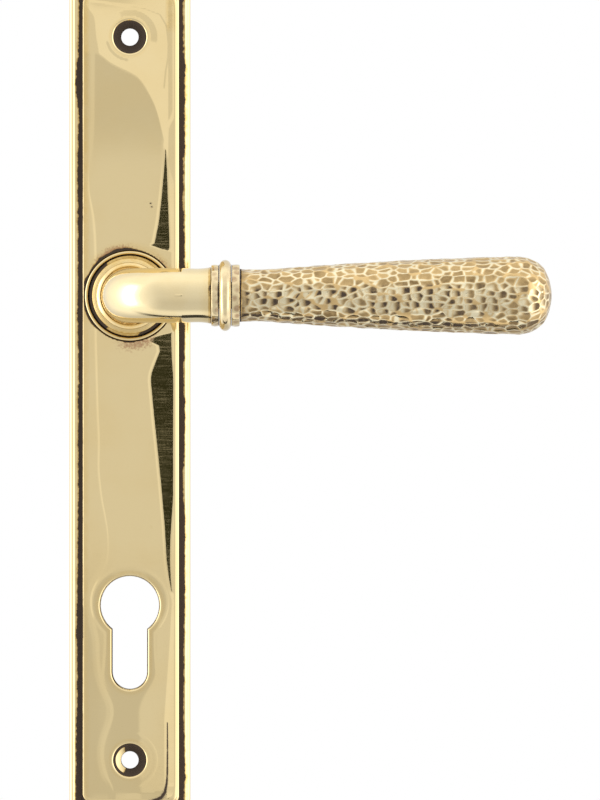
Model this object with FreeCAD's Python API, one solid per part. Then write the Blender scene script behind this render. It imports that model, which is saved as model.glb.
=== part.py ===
import FreeCAD, Part

import math
import os

# Door lever handle on a slim backplate, for an espagnolette lock with a profile cylinder.
# Millimetres. X runs right along the lever, Z runs up, and the front of the plate faces -Y.
# The origin is on the spindle's axis in the plane of the door face, which the plate lies on.

V = FreeCAD.Vector
ORIGIN = V(0, 0, 0)
RIGHT = V(1, 0, 0)
BACK = V(0, 1, 0)
UP = V(0, 0, 1)
FULL_TURN = 360
QUARTER_TURN = 90
THROUGH = 1.0
TOUCH = 1e-6
SIDES = (-1, 1)

# Backplate outside
PLATE_WIDTH = 36.0
PLATE_LENGTH = 248.0
PLATE_CORNER_R = 1.5
FLANGE_WIDTH = 3.9
FLANGE_TOP_Y = -5.5
FLANGE_EDGE_R = 1.3
FACE_Y = -9.0
FACE_SHOULDER = 0.75
FACE_ROLL_WIDTH = 3.4
FACE_ROLL_BOW = 1.0
FACE_ROLL_DIP = 0.18
FACE_CROWN = 0.12
FACE_CORNER_R = 2.4

# Fixing holes, countersunk from the front
FIXING_SPACING = 215.0
FIXING_ABOVE = 77.0
FIXING_HOLE_R = 2.6
COUNTERSINK_R = 4.9
COUNTERSINK_ANGLE = 90.0
LIP_R = 0.45
FIXING_BOSS_R = 5.4

# Opening for the profile cylinder
CYLINDER_DROP = 92.0
CYLINDER_R = 8.7
SLOT_WIDTH = 10.3
SLOT_BOTTOM = 24.9
OPENING_RIM = 2.1

# Hollow back and the spring's room in it
HOLLOW_HALF_WIDTH = 12.0
HOLLOW_END_WALL = 6.0
HOLLOW_FLOOR_Y = -6.2
HOLLOW_CORNER_R = 3.0
RIB_THICKNESS = 1.6
RIB_TOP_Y = -1.2
RIBS_Z = (52.0, -46.0, -68.0, -127.0)

# Neck ring, bush and journal
RING_R = 13.3
RING_SEAT_Y = -8.0
RING_SEAT_GAP = 0.25
RING_CREST_Y = -11.0
RING_LIP_WIDTH = 0.9
RING_FLOOR_Y = -9.2
BUSH_R = 9.2
BUSH_FRONT_Y = -9.8
JOURNAL_R = 8.0
RUNNING_FIT = 0.05

# Lever neck
FOOT_GAP = 0.4
FOOT_Y = -10.1
FOOT_EDGE = 0.6
FOOT_LAND = 0.2
FLARE_MIDDLE = (9.15, -12.15)
FLARE_TOP_Y = -15.0
NECK_R = 8.1
LEVER_AXIS_Y = -45.5
BEND_R = 15.0
WAIST_X = 19.8
WAIST_R = 7.95
NECK_END_X = 24.3
NECK_END_R = 8.4

# Rings between neck and grip, each from X to X with its outer radius
RING_JOINT = 0.05
INNER_RING = (24.3, 26.65, 9.2)
BEAD = (26.65, 30.3, 10.5)
OUTER_RING = (30.3, 32.8, 9.25)
BEAD_LAND = 0.55
RING_EDGE_R = 0.7

# Grip, as pairs of a place along the lever and the radius there
GRIP_START = (32.8, 7.85)
GRIP_THROAT = (37.5, 7.72)
GRIP_SWELL_START = (44.0, 8.1)
GRIP_SWELL_MIDDLE = (82.0, 10.45)
GRIP_SHOULDER = (114.8, 11.65)
GRIP_NOSE = (119.9, 10.4)
GRIP_DOME_EDGE = (122.85, 8.0)
GRIP_TIP_X = 125.1
BEATEN_SIDES = 24
SMOOTH_SIDES = 36

# How many straight cuts turn each curve
LIP_CUTS = 1
RING_CUTS = 3
ARM_CUTS = 3
FLARE_CUTS = 5
BEND_CUTS = 8
THROAT_CUTS = 3
SWELL_CUTS = 10
NOSE_CUTS = 4
DOME_CUTS = 4

# Stud that joins neck, rings and grip
STUD_R = 4.0
STUD_FIT = 0.02
STUD_IN_NECK = 9.0
STUD_IN_GRIP = 14.0
STUD_END_GAP = 0.6

# Spindle and its grub screw
SPINDLE_SIDE = 8.0
SPINDLE_FIT = 0.03
SPINDLE_BACK_Y = 45.0
SPINDLE_FRONT_Y = -21.5
SPINDLE_CHAMFER = 0.8
SOCKET_END_Y = -22.0
GRUB_Y = -15.2
GRUB_R = 2.5
GRUB_LENGTH = 3.9
GRUB_HEX_R = 1.44
GRUB_HEX_DEPTH = 1.8
HEX_STEP = 60

# Shank behind the journal, with two flats that drive the cam
SHANK_R = 7.0
SHANK_FLAT = 5.75
SHANK_SHOULDER_Y = -6.1
SHANK_END_Y = -0.3
SHANK_CHAMFER = 0.3
SLEEVE_WALL = 0.6
STACK_PLAY = 0.02

# Cam, washer and circlip on the shank
CAM_FRONT_Y = -3.3
CAM_THICKNESS = 1.4
CAM_R = 9.3
CAM_LOBE_R = 12.6
CAM_LOBE_HALF_ANGLE = 9.0
LUG_INNER_R = 9.6
LUG_OUTER_R = 10.7
LUG_HALF_WIDTH = 1.1
TAIL_TOP_Z = -5.0
LUG_FRONT_Y = -5.9
WASHER_THICKNESS = 0.28
WASHER_R = 9.0
CIRCLIP_THICKNESS = 1.0
CIRCLIP_R = 8.3
GROOVE_R = 6.5
CIRCLIP_GAP_HALF_ANGLE = 16.0

# Pins that stop the cam and hold the spring
LEVER_TRAVEL = 45.0
STOP_GAP = 0.3
STOP_PIN_R = 1.1
STOP_PIN_AT_R = 11.9
SPRING_POST_R = 1.4
LUG_TO_POST = 0.6
PIN_BACK_Y = -1.65
STOP_PIN_FRONT_Y = -7.4
SPRING_POST_FRONT_Y = -7.2

# Return spring of flat wire
WIRE_RADIAL = 1.2
COIL_R = 8.75
SPRING_FRONT_Y = -5.75
SPRING_BACK_Y = -3.75
LEG_BEND_R = 1.6
LEG_END_Z = -13.7
LEG_REST = 0.02

# Cover over the spring, with two countersunk screws
COVER_FRONT_Y = -1.5
COVER_BACK_Y = -0.3
COVER_SIDE_GAP = 0.3
COVER_TOP_Z = 20.0
COVER_BOTTOM_Z = -24.0
COVER_CORNER_R = 3.0
COVER_HOLE_R = 9.7
COVER_SCREWS_Z = (16.6, -20.2)
SCREW_R = 1.25
SCREW_FIT = 0.02
SCREW_HEAD_R = 2.35
SCREW_LENGTH = 5.4
SCREW_SLOT = 0.6
SCREW_SLOT_REACH = 1.45
SCREW_SLOT_DEPTH = 0.7
SCREW_BOSS_R = 3.2
SCREW_HOLE_FRONT_Y = -6.1


class Outline:
    """A closed flat outline drawn with lines and arcs; place() puts a pair of numbers in space."""

    def __init__(self, place, first):
        self.place = place
        self.first = first
        self.last = first
        self.edges = []

    def line(self, point):
        self.edges.append(Part.makeLine(self.place(*self.last), self.place(*point)))
        self.last = point
        return self

    def arc(self, through, point):
        bow = Part.Arc(self.place(*self.last), self.place(*through), self.place(*point))
        self.edges.append(bow.toShape())
        self.last = point
        return self

    def bow(self, through, point, cuts):
        """An arc turned in a few short straight cuts."""
        flat = Part.Arc(V(*self.last, 0), V(*through, 0), V(*point, 0))
        stops = flat.toShape().discretize(cuts + 1)
        for stop in stops[1:-1]:
            self.line((stop.x, stop.y))
        return self.line(point)

    def face(self):
        if self.last != self.first:
            self.line(self.first)
        return Part.Face(Part.Wire(self.edges))


def about_spindle(radius, y):
    return V(radius, y, 0)


def turned_on_spindle(outline):
    return outline.face().revolve(ORIGIN, BACK, FULL_TURN)


def ring_on_spindle(inner, outer, front, back):
    outline = Outline(about_spindle, (inner, front))
    outline.line((outer, front)).line((outer, back)).line((inner, back))
    return turned_on_spindle(outline)


def rod(radius, front, back, x=0.0, z=0.0):
    """A round bar along Y."""
    return Part.makeCylinder(radius, back - front, V(x, front, z), BACK)


def block(x0, x1, y0, y1, z0, z1):
    return Part.makeBox(x1 - x0, y1 - y0, z1 - z0, V(x0, y0, z0))


def edges_along(shape, direction):
    """The straight edges that run along a direction."""
    found = []
    for edge in shape.Edges:
        if isinstance(edge.Curve, Part.Line):
            if edge.Curve.Direction.cross(direction).Length < TOUCH:
                found.append(edge)
    return found


def rounded_block(x0, x1, y0, y1, z0, z1, radius):
    """A block whose four edges along Y are rounded."""
    plain = block(x0, x1, y0, y1, z0, z1)
    return plain.makeFillet(radius, edges_along(plain, BACK))


def stations_between(start, curves):
    """Pairs of numbers from a start through a row of arcs: (through, end, cuts) for each."""
    outline = Outline(lambda first, second: V(first, second, 0), start)
    for through, end, cuts in curves:
        outline.bow(through, end, cuts)
    corners = [edge.Vertexes[-1].Point for edge in outline.edges]
    return [start, *((corner.x, corner.y) for corner in corners)]


def corners_round(centre, across, radius, sides):
    """The corners of one many-sided section, which stands square to its body's centre line."""
    row = []
    for side in range(sides):
        turn = math.radians(FULL_TURN * side / sides)
        row.append(centre + across * (radius * math.cos(turn)) + UP * (radius * math.sin(turn)))
    return [*row, row[0]]


def panelled_body(rows, tip=None):
    """A body closed in flat panels from each section's corners to the next one's."""
    panels = [rows[0]]
    for near, far in zip(rows, rows[1:]):
        for side in range(len(near) - 1):
            panels.append([near[side], near[side + 1], far[side + 1], far[side], near[side]])
    last = rows[-1]
    if tip is None:
        panels.append(last)
    else:
        panels += [[last[side], last[side + 1], tip, last[side]] for side in range(len(last) - 1)]
    faces = [Part.Face(Part.makePolygon(panel)) for panel in panels]
    return Part.Solid(Part.Shell(faces))


def rows_on_spindle(stations, sides):
    return [corners_round(V(0, y, 0), RIGHT, radius, sides) for radius, y in stations]


def rows_along_lever(stations, sides):
    return [corners_round(V(x, LEVER_AXIS_Y, 0), BACK, radius, sides) for x, radius in stations]


def around(radius, angle):
    """A point round the spindle, its angle measured from straight up towards the lever's side."""
    turn = math.radians(angle)
    return radius * math.sin(turn), radius * math.cos(turn)


# Backplate

PLATE_TOP_Z = FIXING_ABOVE - FIXING_SPACING / 2 + PLATE_LENGTH / 2
PLATE_BOTTOM_Z = PLATE_TOP_Z - PLATE_LENGTH
PLATE_SIDE = PLATE_WIDTH / 2
FACE_SIDE = PLATE_SIDE - FLANGE_WIDTH
FIXINGS_Z = (FIXING_ABOVE, FIXING_ABOVE - FIXING_SPACING)


def flange():
    slab = rounded_block(
        -PLATE_SIDE, PLATE_SIDE, FLANGE_TOP_Y, 0, PLATE_BOTTOM_Z, PLATE_TOP_Z, PLATE_CORNER_R
    )
    front_edges = [edge for edge in slab.Edges if edge.BoundBox.YMax < FLANGE_TOP_Y + TOUCH]
    return slab.makeFillet(FLANGE_EDGE_R, front_edges)


def rolled_profile(place, low, high, top_y):
    """The raised face cut across: upright sides, then a soft roll on to a faintly crowned top."""
    side_y = FACE_Y + FACE_SHOULDER
    roll_y = top_y + FACE_CROWN
    middle = (low + high) / 2
    bow_y = roll_y + FACE_ROLL_DIP
    outline = Outline(place, (low, 0))
    outline.line((low, side_y))
    outline.arc((low + FACE_ROLL_BOW, bow_y), (low + FACE_ROLL_WIDTH, roll_y))
    outline.arc((middle, top_y), (high - FACE_ROLL_WIDTH, roll_y))
    outline.arc((high - FACE_ROLL_BOW, bow_y), (high, side_y))
    outline.line((high, 0))
    return outline.face()


def raised_face():
    low_z = PLATE_BOTTOM_Z + FLANGE_WIDTH
    high_z = PLATE_TOP_Z - FLANGE_WIDTH
    lengthwise = rolled_profile(lambda x, y: V(x, y, low_z), -FACE_SIDE, FACE_SIDE, FACE_Y)
    lengthwise = lengthwise.extrude(UP * (high_z - low_z))
    over_y = FACE_Y - 2 * FACE_CROWN
    crosswise = rolled_profile(lambda z, y: V(-PLATE_SIDE, y, z), low_z, high_z, over_y)
    crosswise = crosswise.extrude(RIGHT * PLATE_WIDTH)
    corners = rounded_block(-FACE_SIDE, FACE_SIDE, 2 * FACE_Y, 0, low_z, high_z, FACE_CORNER_R)
    return lengthwise.common(corners).common(crosswise)


def cylinder_outline(grow):
    """The profile cylinder's outline in the door plane: a circle with a round-ended slot below."""
    radius = CYLINDER_R + grow
    half_slot = SLOT_WIDTH / 2 + grow
    meet = math.sqrt(radius**2 - half_slot**2)
    end_z = half_slot - SLOT_BOTTOM - grow
    outline = Outline(lambda x, z: V(x, 0, z - CYLINDER_DROP), (half_slot, -meet))
    outline.arc((0, radius), (-half_slot, -meet))
    outline.line((-half_slot, end_z))
    outline.arc((0, end_z - half_slot), (half_slot, end_z))
    return outline.face()


def prism(face, front, back):
    lifted = face.translated(V(0, front, 0))
    return lifted.extrude(BACK * (back - front))


def spring_post_z():
    """The post stands just below the cam's lug."""
    return -(LUG_OUTER_R + LUG_TO_POST + SPRING_POST_R)


def stop_pin_places():
    swing = math.degrees(math.asin((STOP_PIN_R + STOP_GAP) / STOP_PIN_AT_R))
    angle = LEVER_TRAVEL + CAM_LOBE_HALF_ANGLE + swing
    return [around(STOP_PIN_AT_R, side * angle) for side in SIDES]


def opening_bevel():
    """The tool for the small bevel round the front of the cylinder's opening."""
    wide = cylinder_outline(LIP_R + THROUGH).translated(V(0, FACE_Y - THROUGH, 0))
    narrow = cylinder_outline(0).translated(V(0, FACE_Y + LIP_R, 0))
    return Part.makeLoft([wide.OuterWire, narrow.OuterWire], True, True)


def fixing_hole(z):
    """The tool for one fixing hole: an eased lip, a right-angled countersink and the hole."""
    top_y = FACE_Y - THROUGH
    half_bend = math.radians(COUNTERSINK_ANGLE / 4)
    off_corner = LIP_R / math.tan(half_bend) * (1 / math.cos(half_bend) - 1)
    lean = 2 * half_bend
    lip_out = (COUNTERSINK_R + LIP_R, FACE_Y)
    lip_middle = (
        COUNTERSINK_R + off_corner * math.sin(half_bend),
        FACE_Y + off_corner * math.cos(half_bend),
    )
    lip_in = (COUNTERSINK_R - LIP_R * math.cos(lean), FACE_Y + LIP_R * math.sin(lean))
    cone_end_y = FACE_Y + COUNTERSINK_R - FIXING_HOLE_R
    outline = Outline(about_spindle, (0, top_y))
    outline.line((COUNTERSINK_R + LIP_R, top_y)).line(lip_out)
    outline.bow(lip_middle, lip_in, LIP_CUTS)
    outline.line((FIXING_HOLE_R, cone_end_y)).line((FIXING_HOLE_R, THROUGH)).line((0, THROUGH))
    return turned_on_spindle(outline).translated(UP * z)


def make_backplate():
    plate = flange().fuse(raised_face()).removeSplitter()
    plate = plate.cut(prism(cylinder_outline(0), 2 * FACE_Y, THROUGH))
    plate = plate.cut(opening_bevel())
    for z in FIXINGS_Z:
        plate = plate.cut(fixing_hole(z))

    hollow = rounded_block(
        -HOLLOW_HALF_WIDTH,
        HOLLOW_HALF_WIDTH,
        HOLLOW_FLOOR_Y,
        THROUGH,
        PLATE_BOTTOM_Z + HOLLOW_END_WALL,
        PLATE_TOP_Z - HOLLOW_END_WALL,
        HOLLOW_CORNER_R,
    )
    for z in FIXINGS_Z:
        hollow = hollow.cut(rod(FIXING_BOSS_R, 2 * FACE_Y, 2 * THROUGH, z=z))
    hollow = hollow.cut(prism(cylinder_outline(OPENING_RIM), 2 * FACE_Y, 2 * THROUGH))
    for z in COVER_SCREWS_Z:
        hollow = hollow.cut(rod(SCREW_BOSS_R, 2 * FACE_Y, COVER_FRONT_Y, z=z))
    for z in RIBS_Z:
        rib = block(
            -PLATE_SIDE,
            PLATE_SIDE,
            2 * FACE_Y,
            RIB_TOP_Y,
            z - RIB_THICKNESS / 2,
            z + RIB_THICKNESS / 2,
        )
        hollow = hollow.cut(rib)
    plate = plate.cut(hollow)

    plate = plate.cut(rod(RING_R + RING_SEAT_GAP, 2 * FACE_Y, RING_SEAT_Y))
    plate = plate.cut(rod(BUSH_R, 2 * FACE_Y, THROUGH))
    for x, z in stop_pin_places():
        plate = plate.cut(rod(STOP_PIN_R, STOP_PIN_FRONT_Y, THROUGH, x, z))
    plate = plate.cut(rod(SPRING_POST_R, SPRING_POST_FRONT_Y, THROUGH, z=spring_post_z()))
    for z in COVER_SCREWS_Z:
        plate = plate.cut(rod(SCREW_R, SCREW_HOLE_FRONT_Y, THROUGH, z=z))
    return plate


# Bearing of the lever in the plate


def make_neck_ring():
    lip_inner = RING_R - RING_LIP_WIDTH
    shoulder_y = RING_CREST_Y + RING_LIP_WIDTH / 2
    crest = ((RING_R + lip_inner) / 2, RING_CREST_Y)
    lip = stations_between((RING_R, shoulder_y), [(crest, (lip_inner, shoulder_y), RING_CUTS)])
    stations = [(RING_R, RING_SEAT_Y), *lip, (lip_inner, RING_FLOOR_Y)]
    ring = panelled_body(rows_on_spindle(stations, SMOOTH_SIDES))
    return ring.cut(rod(BUSH_R, 2 * FACE_Y, THROUGH))


def make_neck_bush():
    return ring_on_spindle(JOURNAL_R + RUNNING_FIT, BUSH_R, BUSH_FRONT_Y, HOLLOW_FLOOR_Y)


def make_stop_pins():
    pins = [rod(STOP_PIN_R, STOP_PIN_FRONT_Y, PIN_BACK_Y, x, z) for x, z in stop_pin_places()]
    return Part.makeCompound(pins)


def make_spring_post():
    return rod(SPRING_POST_R, SPRING_POST_FRONT_Y, PIN_BACK_Y, z=spring_post_z())


# Spring and its cover


def make_return_spring():
    """A flat wire bent round the sleeve, with a straight leg down each side of the post."""
    half = WIRE_RADIAL / 2
    leg_x = SPRING_POST_R + LEG_REST + half
    bend_x = leg_x + LEG_BEND_R
    bend_z = -math.sqrt((COIL_R + LEG_BEND_R) ** 2 - bend_x**2)
    touch = math.degrees(math.atan2(bend_x, -bend_z))
    half_bend = math.radians((QUARTER_TURN - touch) / 2)

    def one_side(side, offset):
        """Where the wire's edge changes from leg to bend to coil, offset outwards from its middle."""
        bend_r = LEG_BEND_R - offset
        leg = side * (leg_x + offset)
        bow = (side * (bend_x - bend_r * math.cos(half_bend)), bend_z + bend_r * math.sin(half_bend))
        coil = around(COIL_R + offset, side * (FULL_TURN / 2 - touch))
        return (leg, LEG_END_Z), (leg, bend_z), bow, coil

    end, bend, bow, coil = one_side(-1, half)
    wire = Outline(lambda x, z: V(x, 0, z), end)
    wire.line(bend).arc(bow, coil)
    end, bend, bow, coil = one_side(1, half)
    wire.arc((0, COIL_R + half), coil).arc(bow, bend).line(end)
    end, bend, bow, coil = one_side(1, -half)
    wire.line(end).line(bend).arc(bow, coil)
    end, bend, bow, coil = one_side(-1, -half)
    wire.arc((0, COIL_R - half), coil).arc(bow, bend).line(end)
    return prism(wire.face(), SPRING_FRONT_Y, SPRING_BACK_Y)


def make_cassette_cover():
    side = HOLLOW_HALF_WIDTH - COVER_SIDE_GAP
    cover = rounded_block(
        -side, side, COVER_FRONT_Y, COVER_BACK_Y, COVER_BOTTOM_Z, COVER_TOP_Z, COVER_CORNER_R
    )
    cover = cover.cut(rod(COVER_HOLE_R, 2 * FACE_Y, THROUGH))
    for z in COVER_SCREWS_Z:
        cover = cover.cut(rod(SCREW_R + SCREW_FIT, 2 * FACE_Y, THROUGH, z=z))
        cover = cover.cut(screw_head_cone(z))
    return cover


def screw_head_cone(z):
    depth = SCREW_HEAD_R - SCREW_R
    return Part.makeCone(SCREW_R, SCREW_HEAD_R, depth, V(0, COVER_BACK_Y - depth, z), BACK)


def make_cover_screws():
    screws = []
    for z in COVER_SCREWS_Z:
        shank = rod(SCREW_R - SCREW_FIT, COVER_BACK_Y - SCREW_LENGTH, COVER_BACK_Y, z=z)
        screw = shank.fuse(screw_head_cone(z)).removeSplitter()
        reach = SCREW_SLOT_REACH
        slot = SCREW_SLOT / 2
        floor_y = COVER_BACK_Y - SCREW_SLOT_DEPTH
        screw = screw.cut(block(-reach, reach, floor_y, THROUGH, z - slot, z + slot))
        screw = screw.cut(block(-slot, slot, floor_y, THROUGH, z - reach, z + reach))
        screws.append(screw)
    return Part.makeCompound(screws)


# Lever


def neck_outside():
    """The neck from its flared foot up the stem, round the quarter bend and along the arm."""
    foot_r = RING_R - RING_LIP_WIDTH - FOOT_GAP
    land_r = foot_r - FOOT_LAND
    foot = stations_between(
        (land_r, FOOT_Y),
        [
            ((foot_r, FOOT_Y - FOOT_EDGE / 2), (land_r, FOOT_Y - FOOT_EDGE), 2 * LIP_CUTS),
            (FLARE_MIDDLE, (NECK_R, FLARE_TOP_Y), FLARE_CUTS),
        ],
    )
    rows = rows_on_spindle(foot, SMOOTH_SIDES)
    for step in range(BEND_CUTS):
        turn = math.radians(QUARTER_TURN * step / BEND_CUTS)
        inward = V(math.cos(turn), math.sin(turn), 0)
        middle = V(BEND_R, LEVER_AXIS_Y + BEND_R, 0) - inward * BEND_R
        rows.append(corners_round(middle, inward, NECK_R, SMOOTH_SIDES))
    arm = stations_between(
        (BEND_R, NECK_R), [((WAIST_X, WAIST_R), (NECK_END_X, NECK_END_R), ARM_CUTS)]
    )
    return panelled_body(rows + rows_along_lever(arm, SMOOTH_SIDES))


def make_lever_neck():
    outline = Outline(about_spindle, (0, SHANK_END_Y))
    outline.line((SHANK_R - SHANK_CHAMFER, SHANK_END_Y))
    outline.line((SHANK_R, SHANK_END_Y - SHANK_CHAMFER))
    outline.line((SHANK_R, SHANK_SHOULDER_Y))
    outline.line((JOURNAL_R, SHANK_SHOULDER_Y))
    outline.line((JOURNAL_R, FOOT_Y))
    outline.line((0, FOOT_Y))
    neck = neck_outside().fuse(turned_on_spindle(outline))
    beside = block(
        SHANK_FLAT, 2 * SHANK_R, SHANK_SHOULDER_Y, THROUGH, -2 * SHANK_R, 2 * SHANK_R
    )
    neck = neck.cut([beside, beside.mirror(ORIGIN, RIGHT)])
    groove_front = circlip_front_y() - STACK_PLAY
    groove_back = groove_front + CIRCLIP_THICKNESS + 2 * STACK_PLAY
    neck = neck.cut(ring_on_spindle(GROOVE_R, 2 * SHANK_R, groove_front, groove_back))
    half_socket = SPINDLE_SIDE / 2 + SPINDLE_FIT
    socket = block(
        -half_socket, half_socket, SOCKET_END_Y, THROUGH, -half_socket, half_socket
    )
    neck = neck.cut(socket)
    neck = neck.cut(stud_bore(NECK_END_X - STUD_IN_NECK, NECK_END_X + STUD_IN_NECK))
    grub_hole = Part.makeCylinder(GRUB_R, 2 * NECK_R, V(0, GRUB_Y, 0), UP * -1)
    return neck.cut(grub_hole)


def stud_bore(start_x, end_x):
    start = V(start_x, LEVER_AXIS_Y, 0)
    return Part.makeCylinder(STUD_R + STUD_FIT, end_x - start_x, start, RIGHT)


def collar_curve(limits, rise):
    """Start, middle and end of a ring's outside, which rises from its lands to its full radius."""
    start_x, end_x, outer = limits
    start_x += RING_JOINT
    end_x -= RING_JOINT
    return (start_x, outer - rise), ((start_x + end_x) / 2, outer), (end_x, outer - rise)


def collar_ring(limits, rise, sides):
    start, middle, end = collar_curve(limits, rise)
    stations = stations_between(start, [(middle, end, RING_CUTS)])
    ring = panelled_body(rows_along_lever(stations, sides))
    return ring.cut(stud_bore(start[0] - THROUGH, end[0] + THROUGH))


def make_lever_grip():
    """The grip from throat and long swell to shoulder and dome, drilled for the stud."""
    dome_height = GRIP_TIP_X - GRIP_DOME_EDGE[0]
    dome_r = (dome_height**2 + GRIP_DOME_EDGE[1] ** 2) / (2 * dome_height)
    half_angle = math.asin(GRIP_DOME_EDGE[1] / dome_r) / 2
    dome_middle = (GRIP_TIP_X - dome_r * (1 - math.cos(half_angle)), dome_r * math.sin(half_angle))
    curves = [
        (GRIP_THROAT, GRIP_SWELL_START, THROAT_CUTS),
        (GRIP_SWELL_MIDDLE, GRIP_SHOULDER, SWELL_CUTS),
        (GRIP_NOSE, GRIP_DOME_EDGE, NOSE_CUTS),
        (dome_middle, (GRIP_TIP_X, 0), DOME_CUTS),
    ]
    stations = stations_between(GRIP_START, curves)
    rows = rows_along_lever(stations[:-1], BEATEN_SIDES)
    grip = panelled_body(rows, V(GRIP_TIP_X, LEVER_AXIS_Y, 0))
    return grip.cut(stud_bore(GRIP_START[0] - THROUGH, GRIP_START[0] + STUD_IN_GRIP + STUD_R))


def make_grip_stud():
    start_x = NECK_END_X - STUD_IN_NECK + STUD_END_GAP
    length = GRIP_START[0] + STUD_IN_GRIP - start_x
    return Part.makeCylinder(STUD_R, length, V(start_x, LEVER_AXIS_Y, 0), RIGHT)


def make_grub_screw():
    top_z = -(SPINDLE_SIDE / 2)
    body = Part.makeCylinder(GRUB_R - STUD_FIT, GRUB_LENGTH, V(0, GRUB_Y, top_z), UP * -1)
    low_z = top_z - GRUB_LENGTH
    corners = []
    for turn in range(0, FULL_TURN + HEX_STEP, HEX_STEP):
        x, y = around(GRUB_HEX_R, turn)
        corners.append(V(x, GRUB_Y + y, low_z))
    key = Part.Face(Part.makePolygon(corners)).extrude(UP * GRUB_HEX_DEPTH)
    return body.cut(key)


def make_spindle():
    half_side = SPINDLE_SIDE / 2
    bar = block(-half_side, half_side, SPINDLE_FRONT_Y, SPINDLE_BACK_Y, -half_side, half_side)
    ends = [
        edge
        for edge in bar.Edges
        if edge.BoundBox.YLength < TOUCH and edge.BoundBox.YMax > 0
    ]
    return bar.makeChamfer(SPINDLE_CHAMFER, ends)


# Pieces on the shank


def double_flat_hole():
    hole = rod(SHANK_R + STACK_PLAY, -SPINDLE_BACK_Y, SPINDLE_BACK_Y)
    flat = SHANK_FLAT + STACK_PLAY
    keep = block(-flat, flat, -SPINDLE_BACK_Y, SPINDLE_BACK_Y, -2 * SHANK_R, 2 * SHANK_R)
    return hole.common(keep)


def make_spacer_sleeve():
    inner = SHANK_R + STACK_PLAY
    front = SHANK_SHOULDER_Y + STACK_PLAY
    return ring_on_spindle(inner, inner + SLEEVE_WALL, front, CAM_FRONT_Y - STACK_PLAY)


def make_drive_cam():
    back = CAM_FRONT_Y + CAM_THICKNESS
    disc = rod(CAM_R, CAM_FRONT_Y, back)
    tip_left = around(CAM_LOBE_R, -CAM_LOBE_HALF_ANGLE)
    tip_right = around(CAM_LOBE_R, CAM_LOBE_HALF_ANGLE)
    lobe = Outline(lambda x, z: V(x, 0, z), (0, 0))
    lobe.line(tip_left).arc((0, CAM_LOBE_R), tip_right).line((0, 0))
    lobe = prism(lobe.face(), CAM_FRONT_Y, back)
    tail = block(
        -LUG_HALF_WIDTH, LUG_HALF_WIDTH, CAM_FRONT_Y, back, -LUG_OUTER_R, TAIL_TOP_Z
    )
    lug = block(
        -LUG_HALF_WIDTH, LUG_HALF_WIDTH, LUG_FRONT_Y, back, -LUG_OUTER_R, -LUG_INNER_R
    )
    cam = disc.fuse([lobe, tail, lug]).removeSplitter()
    return cam.cut(double_flat_hole())


def washer_front_y():
    return CAM_FRONT_Y + CAM_THICKNESS + STACK_PLAY


def circlip_front_y():
    return washer_front_y() + WASHER_THICKNESS + STACK_PLAY


def make_shim_washer():
    front = washer_front_y()
    return ring_on_spindle(SHANK_R + STACK_PLAY, WASHER_R, front, front + WASHER_THICKNESS)


def make_circlip():
    front = circlip_front_y()
    back = front + CIRCLIP_THICKNESS
    clip = ring_on_spindle(GROOVE_R + STACK_PLAY, CIRCLIP_R, front, back)
    left = around(2 * CIRCLIP_R, -CIRCLIP_GAP_HALF_ANGLE)
    right = around(2 * CIRCLIP_R, CIRCLIP_GAP_HALF_ANGLE)
    wedge = Outline(lambda x, z: V(x, 0, z), (0, 0)).line(left).line(right).face()
    return clip.cut(prism(wedge, front - THROUGH, back + THROUGH))


PIECES = {
    "backplate": make_backplate,
    "neck_ring": make_neck_ring,
    "neck_bush": make_neck_bush,
    "stop_pins": make_stop_pins,
    "spring_post": make_spring_post,
    "return_spring": make_return_spring,
    "cassette_cover": make_cassette_cover,
    "cover_screws": make_cover_screws,
    "lever_neck": make_lever_neck,
    "collar_inner_ring": lambda: collar_ring(INNER_RING, RING_EDGE_R, BEATEN_SIDES),
    "collar_bead": lambda: collar_ring(BEAD, RING_EDGE_R + BEAD_LAND, SMOOTH_SIDES),
    "collar_outer_ring": lambda: collar_ring(OUTER_RING, RING_EDGE_R, BEATEN_SIDES),
    "lever_grip": make_lever_grip,
    "grip_stud": make_grip_stud,
    "grub_screw": make_grub_screw,
    "spindle": make_spindle,
    "spacer_sleeve": make_spacer_sleeve,
    "drive_cam": make_drive_cam,
    "shim_washer": make_shim_washer,
    "circlip": make_circlip,
}

os.makedirs("parts", exist_ok=True)
for name, make in PIECES.items():
    piece = make()
    print(name, piece.isValid(), len(piece.Solids), round(piece.Volume, 1))
    piece.exportStep(f"parts/{name}.step")
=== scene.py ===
import math
import random

import bmesh
import bpy
import numpy as np
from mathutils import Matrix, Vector, kdtree, noise
from mathutils.geometry import delaunay_2d_cdt


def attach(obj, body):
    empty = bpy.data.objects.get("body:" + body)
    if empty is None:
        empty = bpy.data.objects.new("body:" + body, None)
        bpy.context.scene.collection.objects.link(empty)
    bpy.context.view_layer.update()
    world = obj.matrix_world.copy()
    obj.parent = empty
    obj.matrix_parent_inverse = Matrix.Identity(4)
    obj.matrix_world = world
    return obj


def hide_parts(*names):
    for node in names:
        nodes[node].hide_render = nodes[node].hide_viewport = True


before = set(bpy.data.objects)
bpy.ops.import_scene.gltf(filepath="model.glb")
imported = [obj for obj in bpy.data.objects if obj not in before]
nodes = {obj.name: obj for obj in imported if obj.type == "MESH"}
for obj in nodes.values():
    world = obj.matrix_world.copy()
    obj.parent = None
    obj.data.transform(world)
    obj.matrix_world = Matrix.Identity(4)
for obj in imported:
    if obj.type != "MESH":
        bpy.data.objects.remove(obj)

# A door lever handle on a slim backplate, all of aged and hand-polished brass.
# Every shape below is in millimetres: X along the lever, Z up, and the plate's front faces -Y.

for spare in ("Cube", "Light", "Camera"):
    if spare in bpy.data.objects:
        bpy.data.objects.remove(bpy.data.objects[spare])
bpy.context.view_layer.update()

MM = 0.001
WHOLE_TURN = 2 * math.pi
QUARTER_TURN = math.pi / 2

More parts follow.
